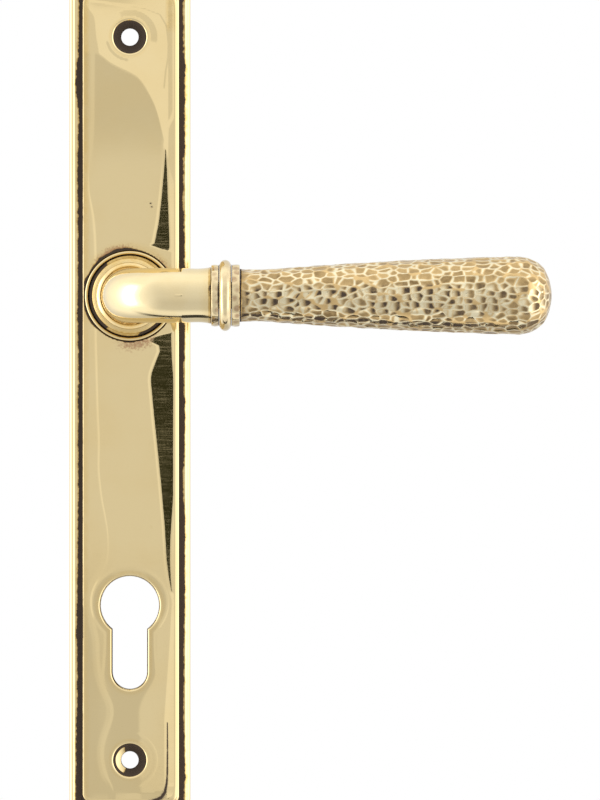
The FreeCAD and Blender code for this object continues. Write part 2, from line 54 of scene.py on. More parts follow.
# Sizes shared with the solids
PLATE_SIDE = 18.0
PLATE_TOP = 93.5
PLATE_BOTTOM = -154.5
FLANGE_WIDTH = 3.9
FLANGE_TOP_Y = -5.5
FLANGE_EDGE_R = 1.3
PLATE_CORNER_R = 1.5
FACE_CORNER_R = 2.4
RISER_SIDE = PLATE_SIDE - FLANGE_WIDTH
RISER_TOP = PLATE_TOP - FLANGE_WIDTH
RISER_BOTTOM = PLATE_BOTTOM + FLANGE_WIDTH
HOLLOW_SIDE = 12.0
HOLLOW_FLOOR_Y = -6.2
FIXINGS_Z = (77.0, -138.0)
FIXING_HOLE_R = 2.6
CYLINDER_Z = -92.0
CYLINDER_R = 8.7
SLOT_HALF = 5.15
SLOT_DROP = 19.75
RING_R = 13.3
RING_LIP_IN = 12.4
RING_FLOOR_Y = -9.2
SEAT_R = 13.55
SEAT_Y = -8.0
BUSH_R = 9.2
FOOT_Y = -10.1
LEVER_AXIS_Y = -45.5
NECK_R = 8.1
NECK_END_X = 24.3
BEND_R = 15.0
BEND_START_Y = LEVER_AXIS_Y + BEND_R
STUD_BORE_R = 4.02
GRIP_START_X = 32.8
GRIP_TIP_X = 125.1


# Curves


def arc(start, through, end, cuts):
    """Points from start to end on the circle through three points, both ends included."""
    (ax, ay), (bx, by), (cx, cy) = start, through, end
    d = 2 * (ax * (by - cy) + bx * (cy - ay) + cx * (ay - by))
    a2, b2, c2 = ax * ax + ay * ay, bx * bx + by * by, cx * cx + cy * cy
    ux = (a2 * (by - cy) + b2 * (cy - ay) + c2 * (ay - by)) / d
    uy = (a2 * (cx - bx) + b2 * (ax - cx) + c2 * (bx - ax)) / d
    radius = math.hypot(ax - ux, ay - uy)
    first = math.atan2(ay - uy, ax - ux)
    middle = (math.atan2(by - uy, bx - ux) - first) % WHOLE_TURN
    last = (math.atan2(cy - uy, cx - ux) - first) % WHOLE_TURN
    if middle > last:
        last -= WHOLE_TURN
    return round_run((ux, uy), radius, first, first + last, cuts)


def round_run(centre, radius, first, last, cuts):
    """Points on a circle from one turn to another, both ends included."""
    turns = [first + (last - first) * step / cuts for step in range(cuts + 1)]
    return [(centre[0] + radius * math.cos(turn), centre[1] + radius * math.sin(turn)) for turn in turns]


def straight(start, end, cuts):
    return [tuple(a + (b - a) * step / cuts for a, b in zip(start, end)) for step in range(cuts + 1)]


def joined(*runs):
    """Runs of points one after another, each shared end written once."""
    points = list(runs[0])
    for run in runs[1:]:
        points += run[1:] if math.dist(points[-1], run[0]) < 1e-6 else run
    return points


def soft_step(low, high, value):
    t = np.clip((value - low) / (high - low), 0, 1)
    return t * t * (3 - 2 * t)


# Meshes

# What each point says about the finish: patina, dull metal, bright edges, red stain and dark shade.
# Besides real patina, wear and stain they carry painted light: a painted shadow on the neck's foot in
# recess, painted deeper gold for reflection and shade on the plate's face in hollow, painted highlights on
# the grip's marks in ridge, and painted shade and painted reflections, with a few specks and a blotch, in
# shade.
MARKS = ("recess", "hollow", "ridge", "stain", "shade")


class Form:
    """A piece's surface as it is gathered: points, faces and what each point says about the finish."""

    def __init__(self):
        self.points = []
        self.faces = []
        self.marks = []
        self.count = 0

    def add(self, points, faces, **marks):
        points = np.asarray(points, float)
        self.points.append(points)
        self.faces += [tuple(int(i) + self.count for i in face) for face in faces]
        self.marks.append({key: np.broadcast_to(value, len(points)) for key, value in marks.items()})
        self.count += len(points)

    def add_rows(self, rows, loop=False, **marks):
        """Closed rows of points side by side; loop joins the last row to the first."""
        rows = np.asarray(rows, float)
        high, wide = rows.shape[:2]
        faces = []
        for r in range(high if loop else high - 1):
            near, far = r * wide, (r + 1) % high * wide
            for c in range(wide):
                d = (c + 1) % wide
                faces.append((near + c, near + d, far + d, far + c))
        flat = {}
        for key, value in marks.items():
            by_row = np.ndim(value) == 1 and len(value) == high
            flat[key] = np.repeat(value, wide) if by_row else np.ravel(value)
        self.add(rows.reshape(-1, 3), faces, **flat)

    def piece(self, name, material, body, stands_for, sharp=35.0, bends=None):
        """Welds the gathered surface into one object that rides on its body."""
        points = np.concatenate(self.points)
        rounded = np.round(points, 3)
        _, first, places = np.unique(rounded, axis=0, return_index=True, return_inverse=True)
        places = places.reshape(-1)
        faces = []
        seen = set()
        for face in self.faces:
            corners = []
            for i in face:
                j = int(places[i])
                if not corners or corners[-1] != j:
                    corners.append(j)
            if len(corners) > 1 and corners[0] == corners[-1]:
                corners.pop()
            whole = len(corners) > 2 and len(set(corners)) == len(corners)
            if whole and frozenset(corners) not in seen:
                seen.add(frozenset(corners))
                faces.append(corners)
        mesh = bpy.data.meshes.new(name)
        mesh.from_pydata((points[first] * MM).tolist(), [], faces)
        shell = bmesh.new()
        shell.from_mesh(mesh)
        bmesh.ops.recalc_face_normals(shell, faces=shell.faces)
        shell.to_mesh(mesh)
        shell.free()
        for key in MARKS:
            values = np.concatenate([m.get(key, np.zeros(len(p))) for m, p in zip(self.marks, self.points)])
            layer = mesh.attributes.new(key, "FLOAT", "POINT")
            layer.data.foreach_set("value", values[first].astype(np.float32))
        mesh.validate()
        mesh.shade_smooth()
        mesh.set_sharp_from_angle(angle=math.radians(sharp))
        if bends is not None:
            mesh.normals_split_custom_set_from_vertices(bends(points[first]).tolist())
        made = bpy.data.objects.new(name, mesh)
        bpy.context.scene.collection.objects.link(made)
        mesh.materials.append(material)
        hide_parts(*stands_for)
        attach(made, body)
        return made


def turned_on_spindle(profile, cuts):
    """Rows of points round the spindle for a profile of (radius, y)."""
    turns = np.linspace(0, WHOLE_TURN, cuts, endpoint=False)
    rows = np.zeros((len(profile), cuts, 3))
    for row, (radius, y) in zip(rows, profile):
        row[:, 0] = radius * np.sin(turns)
        row[:, 1] = y
        row[:, 2] = radius * np.cos(turns)
    return rows


def turned_on_lever(profile, cuts):
    """Rows of points round the lever's axis for a profile of (x, radius)."""
    turns = np.linspace(0, WHOLE_TURN, cuts, endpoint=False)
    rows = np.zeros((len(profile), cuts, 3))
    for row, (x, radius) in zip(rows, profile):
        row[:, 0] = x
        row[:, 1] = LEVER_AXIS_Y - radius * np.cos(turns)
        row[:, 2] = radius * np.sin(turns)
    return rows


# Finishes


class Wiring:
    """Writes one node tree: each call adds a node and gives back its output."""

    def __init__(self, tree):
        self.tree = tree

    def feed(self, socket, value):
        if isinstance(value, bpy.types.NodeSocket):
            self.tree.links.new(value, socket)
        elif value is not None:
            socket.default_value = value

    def node(self, kind, **settings):
        made = self.tree.nodes.new(kind)
        for key, value in settings.items():
            setattr(made, key, value)
        return made

    def sum(self, operation, first, second=None, third=None):
        made = self.node("ShaderNodeMath", operation=operation)
        for socket, value in zip(made.inputs, (first, second, third)):
            self.feed(socket, value)
        return made.outputs[0]

    def step(self, value, low, high, out_low=0.0, out_high=1.0):
        made = self.node("ShaderNodeMapRange", interpolation_type="SMOOTHSTEP")
        for key, part in (("Value", value), ("From Min", low), ("From Max", high),
                          ("To Min", out_low), ("To Max", out_high)):
            self.feed(made.inputs[key], part)
        return made.outputs["Result"]

    def grain(self, size_mm, detail=3.0, roughness=0.5, stretch=(1, 1, 1), shift=0.0):
        """Noise whose features are about size_mm across, in the object's own coordinates."""
        place = self.node("ShaderNodeTexCoord").outputs["Object"]
        moved = self.node("ShaderNodeMapping")
        self.feed(moved.inputs["Vector"], place)
        moved.inputs["Location"].default_value = (shift, 2 * shift, -shift)
        moved.inputs["Scale"].default_value = stretch
        made = self.node("ShaderNodeTexNoise")
        self.feed(made.inputs["Vector"], moved.outputs["Vector"])
        size = size_mm if isinstance(size_mm, bpy.types.NodeSocket) else float(size_mm)
        self.feed(made.inputs["Scale"], self.sum("DIVIDE", 1000.0, size))
        made.inputs["Detail"].default_value = detail
        made.inputs["Roughness"].default_value = roughness
        return made.outputs["Fac"]

    def blend(self, amount, first, second):
        made = self.node("ShaderNodeMix", data_type="RGBA")
        self.feed(made.inputs["Factor"], amount)
        self.feed(made.inputs[6], first)
        self.feed(made.inputs[7], second)
        return made.outputs[2]

    def profile(self, value, stops):
        """A curve through (place, level) stops, the places in degrees of a turn either way."""
        most = max(level for _, level in stops)
        ramp = self.node("ShaderNodeValToRGB")
        self.feed(ramp.inputs["Fac"], self.sum("MULTIPLY_ADD", value, 1 / WHOLE_TURN, 0.5))
        marks = ramp.color_ramp.elements
        while len(marks) < len(stops):
            marks.new(0.5)
        for mark, (degrees, level) in zip(marks, stops):
            mark.position = degrees / 360 + 0.5
            mark.color = (level / most, level / most, level / most, 1)
        return self.sum("MULTIPLY", ramp.outputs["Color"], most)

    def combine(self, value):
        made = self.node("ShaderNodeCombineColor")
        for socket in made.inputs:
            self.feed(socket, value)
        return made.outputs[0]

    def place(self, group, **values):
        made = self.node("ShaderNodeGroup", node_tree=group)
        for key, value in values.items():
            self.feed(made.inputs[key.replace("_", " ")], value)
        return made.outputs

    def mark(self, key):
        return self.node("ShaderNodeAttribute", attribute_name=key).outputs["Fac"]


def new_group(name, inputs, outputs):
    group = bpy.data.node_groups.new(name, "ShaderNodeTree")
    for key, value in inputs.items():
        kind = "NodeSocketColor" if isinstance(value, tuple) else "NodeSocketFloat"
        socket = group.interface.new_socket(key, in_out="INPUT", socket_type=kind)
        socket.default_value = value
    for key, kind in outputs.items():
        group.interface.new_socket(key, in_out="OUTPUT", socket_type=kind)
    wiring = Wiring(group)
    enter = wiring.node("NodeGroupInput").outputs
    leave = wiring.node("NodeGroupOutput").inputs
    return group, wiring, enter, leave


VALUE, COLOUR = "NodeSocketFloat", "NodeSocketColor"

# Linear colours
POLISHED_BRASS = (0.89, 0.72, 0.395, 1)
PALE_BRASS = (0.93, 0.78, 0.47, 1)
# Pale brass of the grip's bright ridges, and of the painted highlights on its marks
RIDGE_AND_HIGHLIGHT_BRASS = (1.0, 0.90, 0.62, 1)
# Deeper gold, which on the plate's face is painted reflection and shade
GOLDEN_BRASS = (0.82, 0.58, 0.22, 1)
GRIP_GOLD = (0.82, 0.58, 0.27, 1)
AGED_BRASS = (0.66, 0.47, 0.21, 1)
HAMMERED_HOLLOW = (0.17, 0.105, 0.045, 1)
FRINGE_BROWN = (0.58, 0.36, 0.09, 1)
COLLAR_SHADE = (0.46, 0.29, 0.17, 1)
BROWN_PATINA = (0.076, 0.056, 0.042, 1)
RED_STAIN = (0.46, 0.22, 0.12, 1)


def make_recess_patina():
    """Brown patina left where the polishing cloth doesn't reach, with a ragged edge."""
    group, w, enter, leave = new_group(
        "recess patina", {"Recess": 0.0, "Start": 0.5, "Ragged": 0.25, "Grain": 1.6},
        {"Mask": VALUE, "Fringe": VALUE},
    )
    ragged = w.grain(enter["Grain"], detail=5.0, roughness=0.66)
    worn = w.grain(17.0, detail=2.0, shift=0.1)
    uneven = w.sum("ADD", w.sum("SUBTRACT", ragged, 0.5), w.sum("SUBTRACT", worn, 0.5))
    swing = w.sum("MULTIPLY", uneven, w.sum("MULTIPLY", enter["Ragged"], 2.0))
    depth = w.sum("ADD", enter["Recess"], swing)
    low = w.sum("SUBTRACT", enter["Start"], 0.04)
    high = w.sum("ADD", enter["Start"], 0.04)
    w.feed(leave["Mask"], w.step(depth, low, high))
    w.feed(leave["Fringe"], w.step(depth, w.sum("SUBTRACT", enter["Start"], 0.28), low))
    return group


def make_tarnish_clouds():
    """Soft clouds of tarnish and small dark specks."""
    group, w, enter, leave = new_group(
        "tarnish clouds", {"Size": 9.0, "Specks": 0.3}, {"Clouds": VALUE, "Specks": VALUE}
    )
    clouds = w.step(w.grain(enter["Size"], detail=3.0, roughness=0.55), 0.36, 0.68)
    specks = w.step(w.grain(0.9, detail=2.0, roughness=0.5, shift=0.3), 0.735, 0.79)
    w.feed(leave["Clouds"], clouds)
    w.feed(leave["Specks"], w.sum("MULTIPLY", specks, enter["Specks"]))
    return group


def make_polishing_marks():
    """The height of fine hair lines from the mop, and of a faint orange peel under them."""
    group, w, enter, leave = new_group("polishing marks", {"Lines": 1.0, "Peel": 1.0}, {"Height": VALUE})
    across = w.grain(0.16, detail=2.0, stretch=(1, 1, 0.06))
    along = w.grain(0.16, detail=2.0, stretch=(0.06, 1, 1), shift=0.2)
    peel = w.grain(1.8, detail=2.0, shift=0.5)
    lines = w.sum("MULTIPLY", w.sum("ADD", across, along), enter["Lines"])
    w.feed(leave["Height"], w.sum("ADD", lines, w.sum("MULTIPLY", peel, enter["Peel"])))
    return group


def make_brass_tones():
    """Colour, roughness and metal of brass under tarnish, stain and patina."""
    group, w, enter, leave = new_group(
        "brass tones",
        {"Bright": POLISHED_BRASS, "Dull": AGED_BRASS, "Tarnish": 0.2, "Fringe": 0.0, "Stain": 0.0,
         "Patina": 0.0, "Gloss": 0.05},
        {"Color": COLOUR, "Roughness": VALUE, "Metallic": VALUE, "Specular": VALUE},
    )
    toned = w.blend(enter["Tarnish"], enter["Bright"], enter["Dull"])
    fringed = w.blend(enter["Fringe"], toned, FRINGE_BROWN)
    stained = w.blend(w.sum("MULTIPLY", enter["Stain"], 0.75), fringed, RED_STAIN)
    w.feed(leave["Color"], w.blend(enter["Patina"], stained, BROWN_PATINA))
    dulled = w.sum("MULTIPLY_ADD", enter["Tarnish"], 0.14, enter["Gloss"])
    dulled = w.sum("MULTIPLY_ADD", enter["Stain"], 0.12, dulled)
    w.feed(leave["Roughness"], w.sum("MULTIPLY_ADD", enter["Patina"], 0.42, dulled))
    w.feed(leave["Metallic"], w.sum("MULTIPLY_ADD", enter["Patina"], -1.0, 1.0))
    w.feed(leave["Specular"], w.sum("MULTIPLY_ADD", enter["Patina"], -0.5, 0.5))
    return group


RECESS_PATINA = make_recess_patina()
TARNISH_CLOUDS = make_tarnish_clouds()
POLISHING_MARKS = make_polishing_marks()
BRASS_TONES = make_brass_tones()


def new_material(name):
    material = bpy.data.materials.new(name)
    material.use_nodes = True
    wiring = Wiring(material.node_tree)
    return material, wiring, material.node_tree.nodes["Principled BSDF"]


def add_bump(w, shader, height, depth):
    """Lets a height of 0 to 1 tilt the surface as if it were so many metres deep."""
    bump = w.node("ShaderNodeBump")
    bump.inputs["Strength"].default_value = 1.0
    bump.inputs["Distance"].default_value = depth
    w.feed(bump.inputs["Height"], height)
    w.feed(shader.inputs["Normal"], bump.outputs["Normal"])


# Where patina starts, how strong its brown fringe is, and how much duller the hair lines are
PATINA_START = 0.5
FRINGE_STRENGTH = 0.8
HAIRLINE_DULL = 0.03


def aged_brass(name, ragged, grain, tarnish, gloss, lines, peel, cloud_size=9.0, specks=0.3,
               bright=POLISHED_BRASS, dull=AGED_BRASS, hollows=0.0, ridges_and_highlights=None):
    """Brass with patina in its recesses and the painted light its marks carry; hollows is how dull its
    marked hollows are.
    """
    material, w, shader = new_material(name)
    # The recess mark: real patina, and on the neck's foot a painted shadow
    patina = w.place(RECESS_PATINA, Recess=w.mark("recess"), Start=PATINA_START, Ragged=ragged, Grain=grain)
    clouds = w.place(TARNISH_CLOUDS, Size=cloud_size, Specks=specks)
    dulling = w.sum("MULTIPLY", clouds["Clouds"], tarnish)
    # The hollow mark: dull hammer marks and dents, and on the plate's face painted deeper gold for
    # reflection and shade
    if hollows:
        uneven = w.step(w.grain(3.4, detail=4.0, roughness=0.7, shift=0.7), 0.28, 0.66, 0.55, 1.0)
        deep = w.sum("MULTIPLY", w.sum("MULTIPLY", w.mark("hollow"), uneven), hollows)
        dulling = w.sum("MAXIMUM", dulling, deep)
    dulling = w.sum("MAXIMUM", dulling, clouds["Specks"])
    # The ridge mark: bright real ridges, and painted highlights on the grip's marks
    if ridges_and_highlights:
        bright = w.blend(w.mark("ridge"), bright, ridges_and_highlights)
    speckle = w.grain(0.8, detail=5.0, roughness=0.7, shift=0.9)
    spread = w.sum("ADD", w.mark("stain"), w.sum("MULTIPLY_ADD", speckle, 2.4, -1.2))
    stain = w.sum("MULTIPLY", w.step(spread, 0.25, 1.1), w.step(w.mark("stain"), 0.0, 0.2))
    hairlines = w.step(w.grain(0.32, detail=3.0, stretch=(0.05, 1, 1), shift=0.4), 0.42, 0.70)
    worn_gloss = w.sum("MULTIPLY_ADD", hairlines, HAIRLINE_DULL, gloss)
    thin = w.step(w.grain(1.3, detail=4.0, shift=0.6), 0.3, 0.62, 0.55, 1.0)
    # The shade mark: painted shade and painted reflections, with a few dark specks and a blotch, darkened
    # toward brown patina
    painted_shade = w.sum("MINIMUM", w.sum("MULTIPLY", w.mark("shade"), thin), 1.0)
    dark = w.sum("MAXIMUM", patina["Mask"], painted_shade)
    edge = w.sum("MULTIPLY", patina["Fringe"], FRINGE_STRENGTH)
    tones = w.place(BRASS_TONES, Bright=bright, Dull=dull, Tarnish=dulling, Fringe=edge, Stain=stain,
                    Patina=dark, Gloss=worn_gloss)
    w.feed(shader.inputs["Base Color"], tones["Color"])
    w.feed(shader.inputs["Roughness"], tones["Roughness"])
    w.feed(shader.inputs["Metallic"], tones["Metallic"])
    w.feed(shader.inputs["Specular IOR Level"], tones["Specular"])
    marks = w.place(POLISHING_MARKS, Lines=lines, Peel=peel)
    add_bump(w, shader, marks["Height"], 0.0000012)
    return material


def bare_steel(name, light, dark, gloss, grain_mm, stretch, depth, spots=0.2):
    """Plain steel with a drawn, ground or rolled grain and a few darker spots."""
    material, w, shader = new_material(name)
    clouds = w.place(TARNISH_CLOUDS, Size=5.0, Specks=spots)
    grain = w.grain(grain_mm, detail=3.0, stretch=stretch)
    shade = w.sum("MAXIMUM", w.sum("MULTIPLY", clouds["Clouds"], 0.6), clouds["Specks"])
    w.feed(shader.inputs["Base Color"], w.blend(shade, light, dark))
    w.feed(shader.inputs["Roughness"], w.step(grain, 0.2, 0.8, gloss - 0.08, gloss + 0.10))
    shader.inputs["Metallic"].default_value = 1.0
    add_bump(w, shader, grain, depth)
    return material


def moulded_nylon(name):
    material, w, shader = new_material(name)
    mottle = w.grain(2.2, detail=3.0)
    w.feed(shader.inputs["Base Color"], w.blend(w.step(mottle, 0.3, 0.7), (0.78, 0.74, 0.62, 1),
                                                (0.66, 0.61, 0.49, 1)))
    w.feed(shader.inputs["Roughness"], w.step(w.grain(0.6, detail=2.0), 0.2, 0.8, 0.38, 0.55))
    shader.inputs["Subsurface Weight"].default_value = 0.15
    shader.inputs["Subsurface Radius"].default_value = (0.001, 0.0009, 0.0007)
    add_bump(w, shader, mottle, 0.00001)
    return material


PLATE_BRASS = aged_brass("hand polished plate brass", ragged=0.36, grain=1.9, tarnish=0.2,
                         gloss=0.025, lines=0.7, peel=0.4, cloud_size=26.0, specks=0.0, dull=GOLDEN_BRASS,
                         hollows=1.0)
RING_BRASS = aged_brass("polished ring brass", ragged=0.2, grain=1.2, tarnish=0.2,
                        gloss=0.06, lines=0.8, peel=0.6)
NECK_BRASS = aged_brass("polished neck brass", ragged=0.22, grain=1.3, tarnish=0.2,
                        gloss=0.08, lines=1.0, peel=0.8, cloud_size=11.0, bright=PALE_BRASS,
                        dull=GOLDEN_BRASS, hollows=1.0)
COLLAR_BRASS = aged_brass("collar brass", ragged=0.3, grain=1.0, tarnish=0.35,
                          gloss=0.09, lines=1.2, peel=1.2, cloud_size=4.0, hollows=0.85,
                          bright=PALE_BRASS, dull=COLLAR_SHADE)
GRIP_BRASS = aged_brass("hammered grip brass", ragged=0.3, grain=1.2, tarnish=0.2,
                        gloss=0.10, lines=2.0, peel=2.0, cloud_size=6.0, bright=GRIP_GOLD,
                        dull=HAMMERED_HOLLOW, hollows=1.0, ridges_and_highlights=RIDGE_AND_HIGHLIGHT_BRASS)
ZINC_SHEET = bare_steel("zinc plated sheet", (0.62, 0.63, 0.64, 1), (0.45, 0.45, 0.44, 1), 0.34, 0.5,
                        (1, 1, 0.12), 0.000004)
ZINC_SCREW = bare_steel("zinc plated screws", (0.66, 0.66, 0.64, 1), (0.42, 0.41, 0.38, 1), 0.3, 0.3,
                        (1, 1, 1), 0.000004)
GROUND_STEEL = bare_steel("ground hardened steel", (0.52, 0.52, 0.53, 1), (0.34, 0.33, 0.32, 1), 0.24,
                          0.15, (1, 0.1, 1), 0.000002)
DRAWN_BAR = bare_steel("drawn spindle bar", (0.50, 0.51, 0.52, 1), (0.30, 0.28, 0.26, 1), 0.33, 0.2,
                       (1, 0.03, 1), 0.000005, spots=0.5)
SPRING_WIRE = bare_steel("oiled spring wire", (0.30, 0.31, 0.33, 1), (0.14, 0.13, 0.13, 1), 0.26, 0.2,
                         (1, 1, 1), 0.000003)
BLACK_OXIDE = bare_steel("black oxide", (0.055, 0.055, 0.06, 1), (0.025, 0.022, 0.02, 1), 0.36, 0.25,
                         (1, 1, 1), 0.000004)
NYLON = moulded_nylon("natural nylon")

FINISH_OF = {
    "neck_bush": NYLON,
    "stop_pins": GROUND_STEEL,
    "spring_post": GROUND_STEEL,
    "return_spring": SPRING_WIRE,
    "cassette_cover": ZINC_SHEET,
    "cover_screws": ZINC_SCREW,
    "grip_stud": GROUND_STEEL,
    "grub_screw": BLACK_OXIDE,
    "spindle": DRAWN_BAR,
    "spacer_sleeve": GROUND_STEEL,
    "drive_cam": ZINC_SHEET,
    "shim_washer": GROUND_STEEL,
    "circlip": BLACK_OXIDE,
}
for node, finish in FINISH_OF.items():
    nodes[node].data.materials.clear()
    nodes[node].data.materials.append(finish)


# Lines and tables


def along(place, table):
    """A table's value at a place, on straight runs between its rows."""
    return np.interp(place, *zip(*table))


def eased(place, table, reach):
    """The same, with the corners of the line rounded over a reach either way."""
    return sum(along(place + reach * part, table) for part in (-1, -0.5, 0, 0.5, 1)) / 5


def ridge(offset, width):
    """1 on a line, and next to nothing two widths beside it."""
    return np.exp(-((offset / width) ** 2))


def away_from_line(x, z, line):
    """Distance of each point from a line of straight runs."""
    best = np.full(np.shape(x), 1e9)
    for (ax, az), (bx, bz) in zip(line, line[1:]):
        length = (bx - ax) ** 2 + (bz - az) ** 2
        t = np.clip(((x - ax) * (bx - ax) + (z - az) * (bz - az)) / length, 0, 1)
        best = np.minimum(best, np.hypot(x - ax - t * (bx - ax), z - az - t * (bz - az)))
    return best


def at_height(outline, y):
    rows = np.zeros((len(outline), 3))
    rows[:, 0], rows[:, 2] = outline[:, 0], outline[:, 1]
    rows[:, 1] = y
    return rows


# Backplate: outlines

CORNER_CUTS = 10
ROUND_CUTS = 72
SLOT_END_CUTS = 28
SLOT_SIDE_CUTS = 12
SOFT_CORNER = 1.3


def rounded_outline(inset, corner_r, spacing):
    """Points round a rectangle inset mm inside the plate's edge; the same count for any inset."""
    half_x = PLATE_SIDE - inset
    top, bottom = PLATE_TOP - inset, PLATE_BOTTOM + inset
    tall = round((PLATE_TOP - PLATE_BOTTOM) / spacing)
    short = round(2 * PLATE_SIDE / spacing)
    sides = [
        ((half_x, bottom + corner_r), (half_x, top - corner_r), tall),
        ((half_x - corner_r, top), (corner_r - half_x, top), short),
        ((-half_x, top - corner_r), (-half_x, bottom + corner_r), tall),
        ((corner_r - half_x, bottom), (half_x - corner_r, bottom), short),
    ]
    points = []
    for quarter, (start, end, cuts) in enumerate(sides):
        points += straight(start, end, cuts)[1:]
        turn = quarter * QUARTER_TURN
        centre = (end[0] - corner_r * math.cos(turn), end[1] - corner_r * math.sin(turn))
        points += round_run(centre, corner_r, turn, turn + QUARTER_TURN, CORNER_CUTS)[1:]
    return np.array(points)


def keyhole(grow):
    """The cylinder opening's outline, grown outward by so much."""
    radius, half_slot = CYLINDER_R + grow, SLOT_HALF + grow
    meet = math.sqrt(radius**2 - half_slot**2)
    first = math.atan2(-meet, half_slot)
    last = first + WHOLE_TURN - 2 * abs(-QUARTER_TURN - first)
    points = round_run((0, 0), radius, first, last, ROUND_CUTS)
    points += straight((-half_slot, -meet), (-half_slot, -SLOT_DROP), SLOT_SIDE_CUTS)[1:]
    points += round_run((0, -SLOT_DROP), half_slot, math.pi, WHOLE_TURN, SLOT_END_CUTS)[1:]
    points += straight((half_slot, -SLOT_DROP), (half_slot, -meet), SLOT_SIDE_CUTS)[1:-1]
    return np.array(points) + (0, CYLINDER_Z)


def keyhole_gap(x, z):
    """Distance from the opening's outline, negative inside it."""
    up = z - CYLINDER_Z
    low = np.clip(up, -SLOT_DROP, 0)
    return np.minimum(np.hypot(x, up) - CYLINDER_R, np.hypot(x, up - low) - SLOT_HALF)


def riser_gap(x, z):
    """Distance in from the riser, its corners eased as the polishing has eased the face's."""
    gaps = np.stack([RISER_SIDE - np.abs(x), RISER_TOP - z, z - RISER_BOTTOM])
    return -SOFT_CORNER * np.log(np.exp(-gaps / SOFT_CORNER).sum(axis=0))


def clear_of_openings(x, z, spare):
    """Which points lie further than spare outside the ring's seat, the opening's lip and the holes' lips."""
    clear = (np.hypot(x, z) > SEAT_R + spare) & (keyhole_gap(x, z) > OPENING_LIP + spare)
    for place in FIXINGS_Z:
        clear &= np.hypot(x, z - place) > LIP_R + spare
    return clear


# Backplate: the slopes of the face, which shape its reflections

# Where the face starts and ends its dark reflection on the right, as (z, x)
DARK_START = (
    (-151, 11.2), (-126, 11.1), (-100, 13.0), (-90, 13.3), (-88.6, 12.5), (-84, 11.6), (-78.6, 10.9),
    (-68.6, 10.35), (-57.5, 9.4), (-46.4, 8.3), (-35, 7.1), (-24, 6.1), (-20.7, 7.2), (-16.5, 8.9),
    (-14.8, 8.7), (-13.4, 5.9), (-12.6, 6.4), (-11.7, 9.2), (-11.0, 12.2), (-10.6, 13.3), (13.2, 13.3),
    (13.5, 11.4), (13.9, 9.5), (15.1, 6.3), (15.6, 7.3), (22, 8.6), (29, 9.4), (37, 10.1), (43.5, 10.6),
    (50, 10.9), (52, 12.0), (54, 13.3), (90, 13.3),
)
DARK_END = (
    (-151, 11.2), (-126, 11.1), (-100, 13.0), (-90, 13.3), (-88.6, 12.55), (-84, 12.2), (-78.6, 11.95),
    (-72, 12.1), (-66, 12.5), (-60, 12.9), (-40, 12.9), (-24, 12.95), (-20, 12.6), (-12, 12.3),
    (-11.0, 12.4), (-10.6, 13.3), (13.2, 13.3), (13.5, 11.5), (14.5, 11.8), (20, 11.7), (30, 11.3),
    (37, 11.1), (43.5, 10.7), (50, 10.9), (52, 12.0), (54, 13.3), (90, 13.3),
)
DARK_ROUNDING = 1.5
SHARP_NEAR_RING = (17, 19)
DARK_EDGE_SOFT = (0.03, 0.2)

# How steeply the face falls: over its crown, into the dark reflection, past it, and at its rolled edges
CROWN_SLOPE = 0.010
DARK_SLOPE = 0.015
PAST_SLOPE = 0.022
ROLL_SLOPE = 0.8
RIGHT_ROLL = (13.1, 14.2)
LEFT_ROLL = (13.45, 14.2)
LEFT_CROWN = 9.8
LEFT_SLOPE = 0.020
LEFT_BEND = (9.6, 12.4)
MIDDLE_BLEND = (-5, 5)

FACE_MIDDLE_Y = -8.995
FACE_LOWEST_Y = -8.25
FURTHEST_OUT = 14.5
FINE_X = 0.1
FINE_Z = 0.5


def dark_edges(z):
    """Where the dark reflection starts and ends, its corners rounded away from the ring."""
    reach = DARK_ROUNDING * soft_step(*SHARP_NEAR_RING, np.abs(z))
    return eased(z, DARK_START, reach), eased(z, DARK_END, reach)


def across_slope(out, z, right):
    """How steeply the face falls away at a distance out from its middle line; right is 0 to 1."""
    start, end = dark_edges(z)
    soft = np.clip(0.4 * (end - start), *DARK_EDGE_SOFT)
    on_right = CROWN_SLOPE * np.clip(out / start, 0, 1) ** 2
    on_right = on_right + DARK_SLOPE * soft_step(start - soft, start + soft, out)
    on_right = on_right + PAST_SLOPE * soft_step(end - soft, end + soft, out)
    on_right = on_right + ROLL_SLOPE * soft_step(*RIGHT_ROLL, out)
    on_left = CROWN_SLOPE * np.clip(out / LEFT_CROWN, 0, 1) ** 2
    on_left = on_left + LEFT_SLOPE * soft_step(*LEFT_BEND, out) + ROLL_SLOPE * soft_step(*LEFT_ROLL, out)
    return on_left + (on_right - on_left) * right


def make_face_relief():
    """Heights of the polished face over a fine grid: its slopes across, summed from the middle."""
    x = np.arange(-RISER_SIDE - 0.5, RISER_SIDE + 0.5 + FINE_X / 2, FINE_X)
    z = np.arange(RISER_BOTTOM - 1, RISER_TOP + 1, FINE_Z)
    across, up = np.meshgrid(x, z)
    slope = across_slope(np.abs(across), up, soft_step(*MIDDLE_BLEND, across)) * np.sign(across)
    heights = np.cumsum(slope, axis=1) * FINE_X
    middle = np.argmin(np.abs(x))
    return x, z, heights - heights[:, middle:middle + 1]


RELIEF_X, RELIEF_Z, RELIEF = make_face_relief()


def out_from_middle(x, z):
    return np.clip(RISER_SIDE - riser_gap(x, z), 0, FURTHEST_OUT)


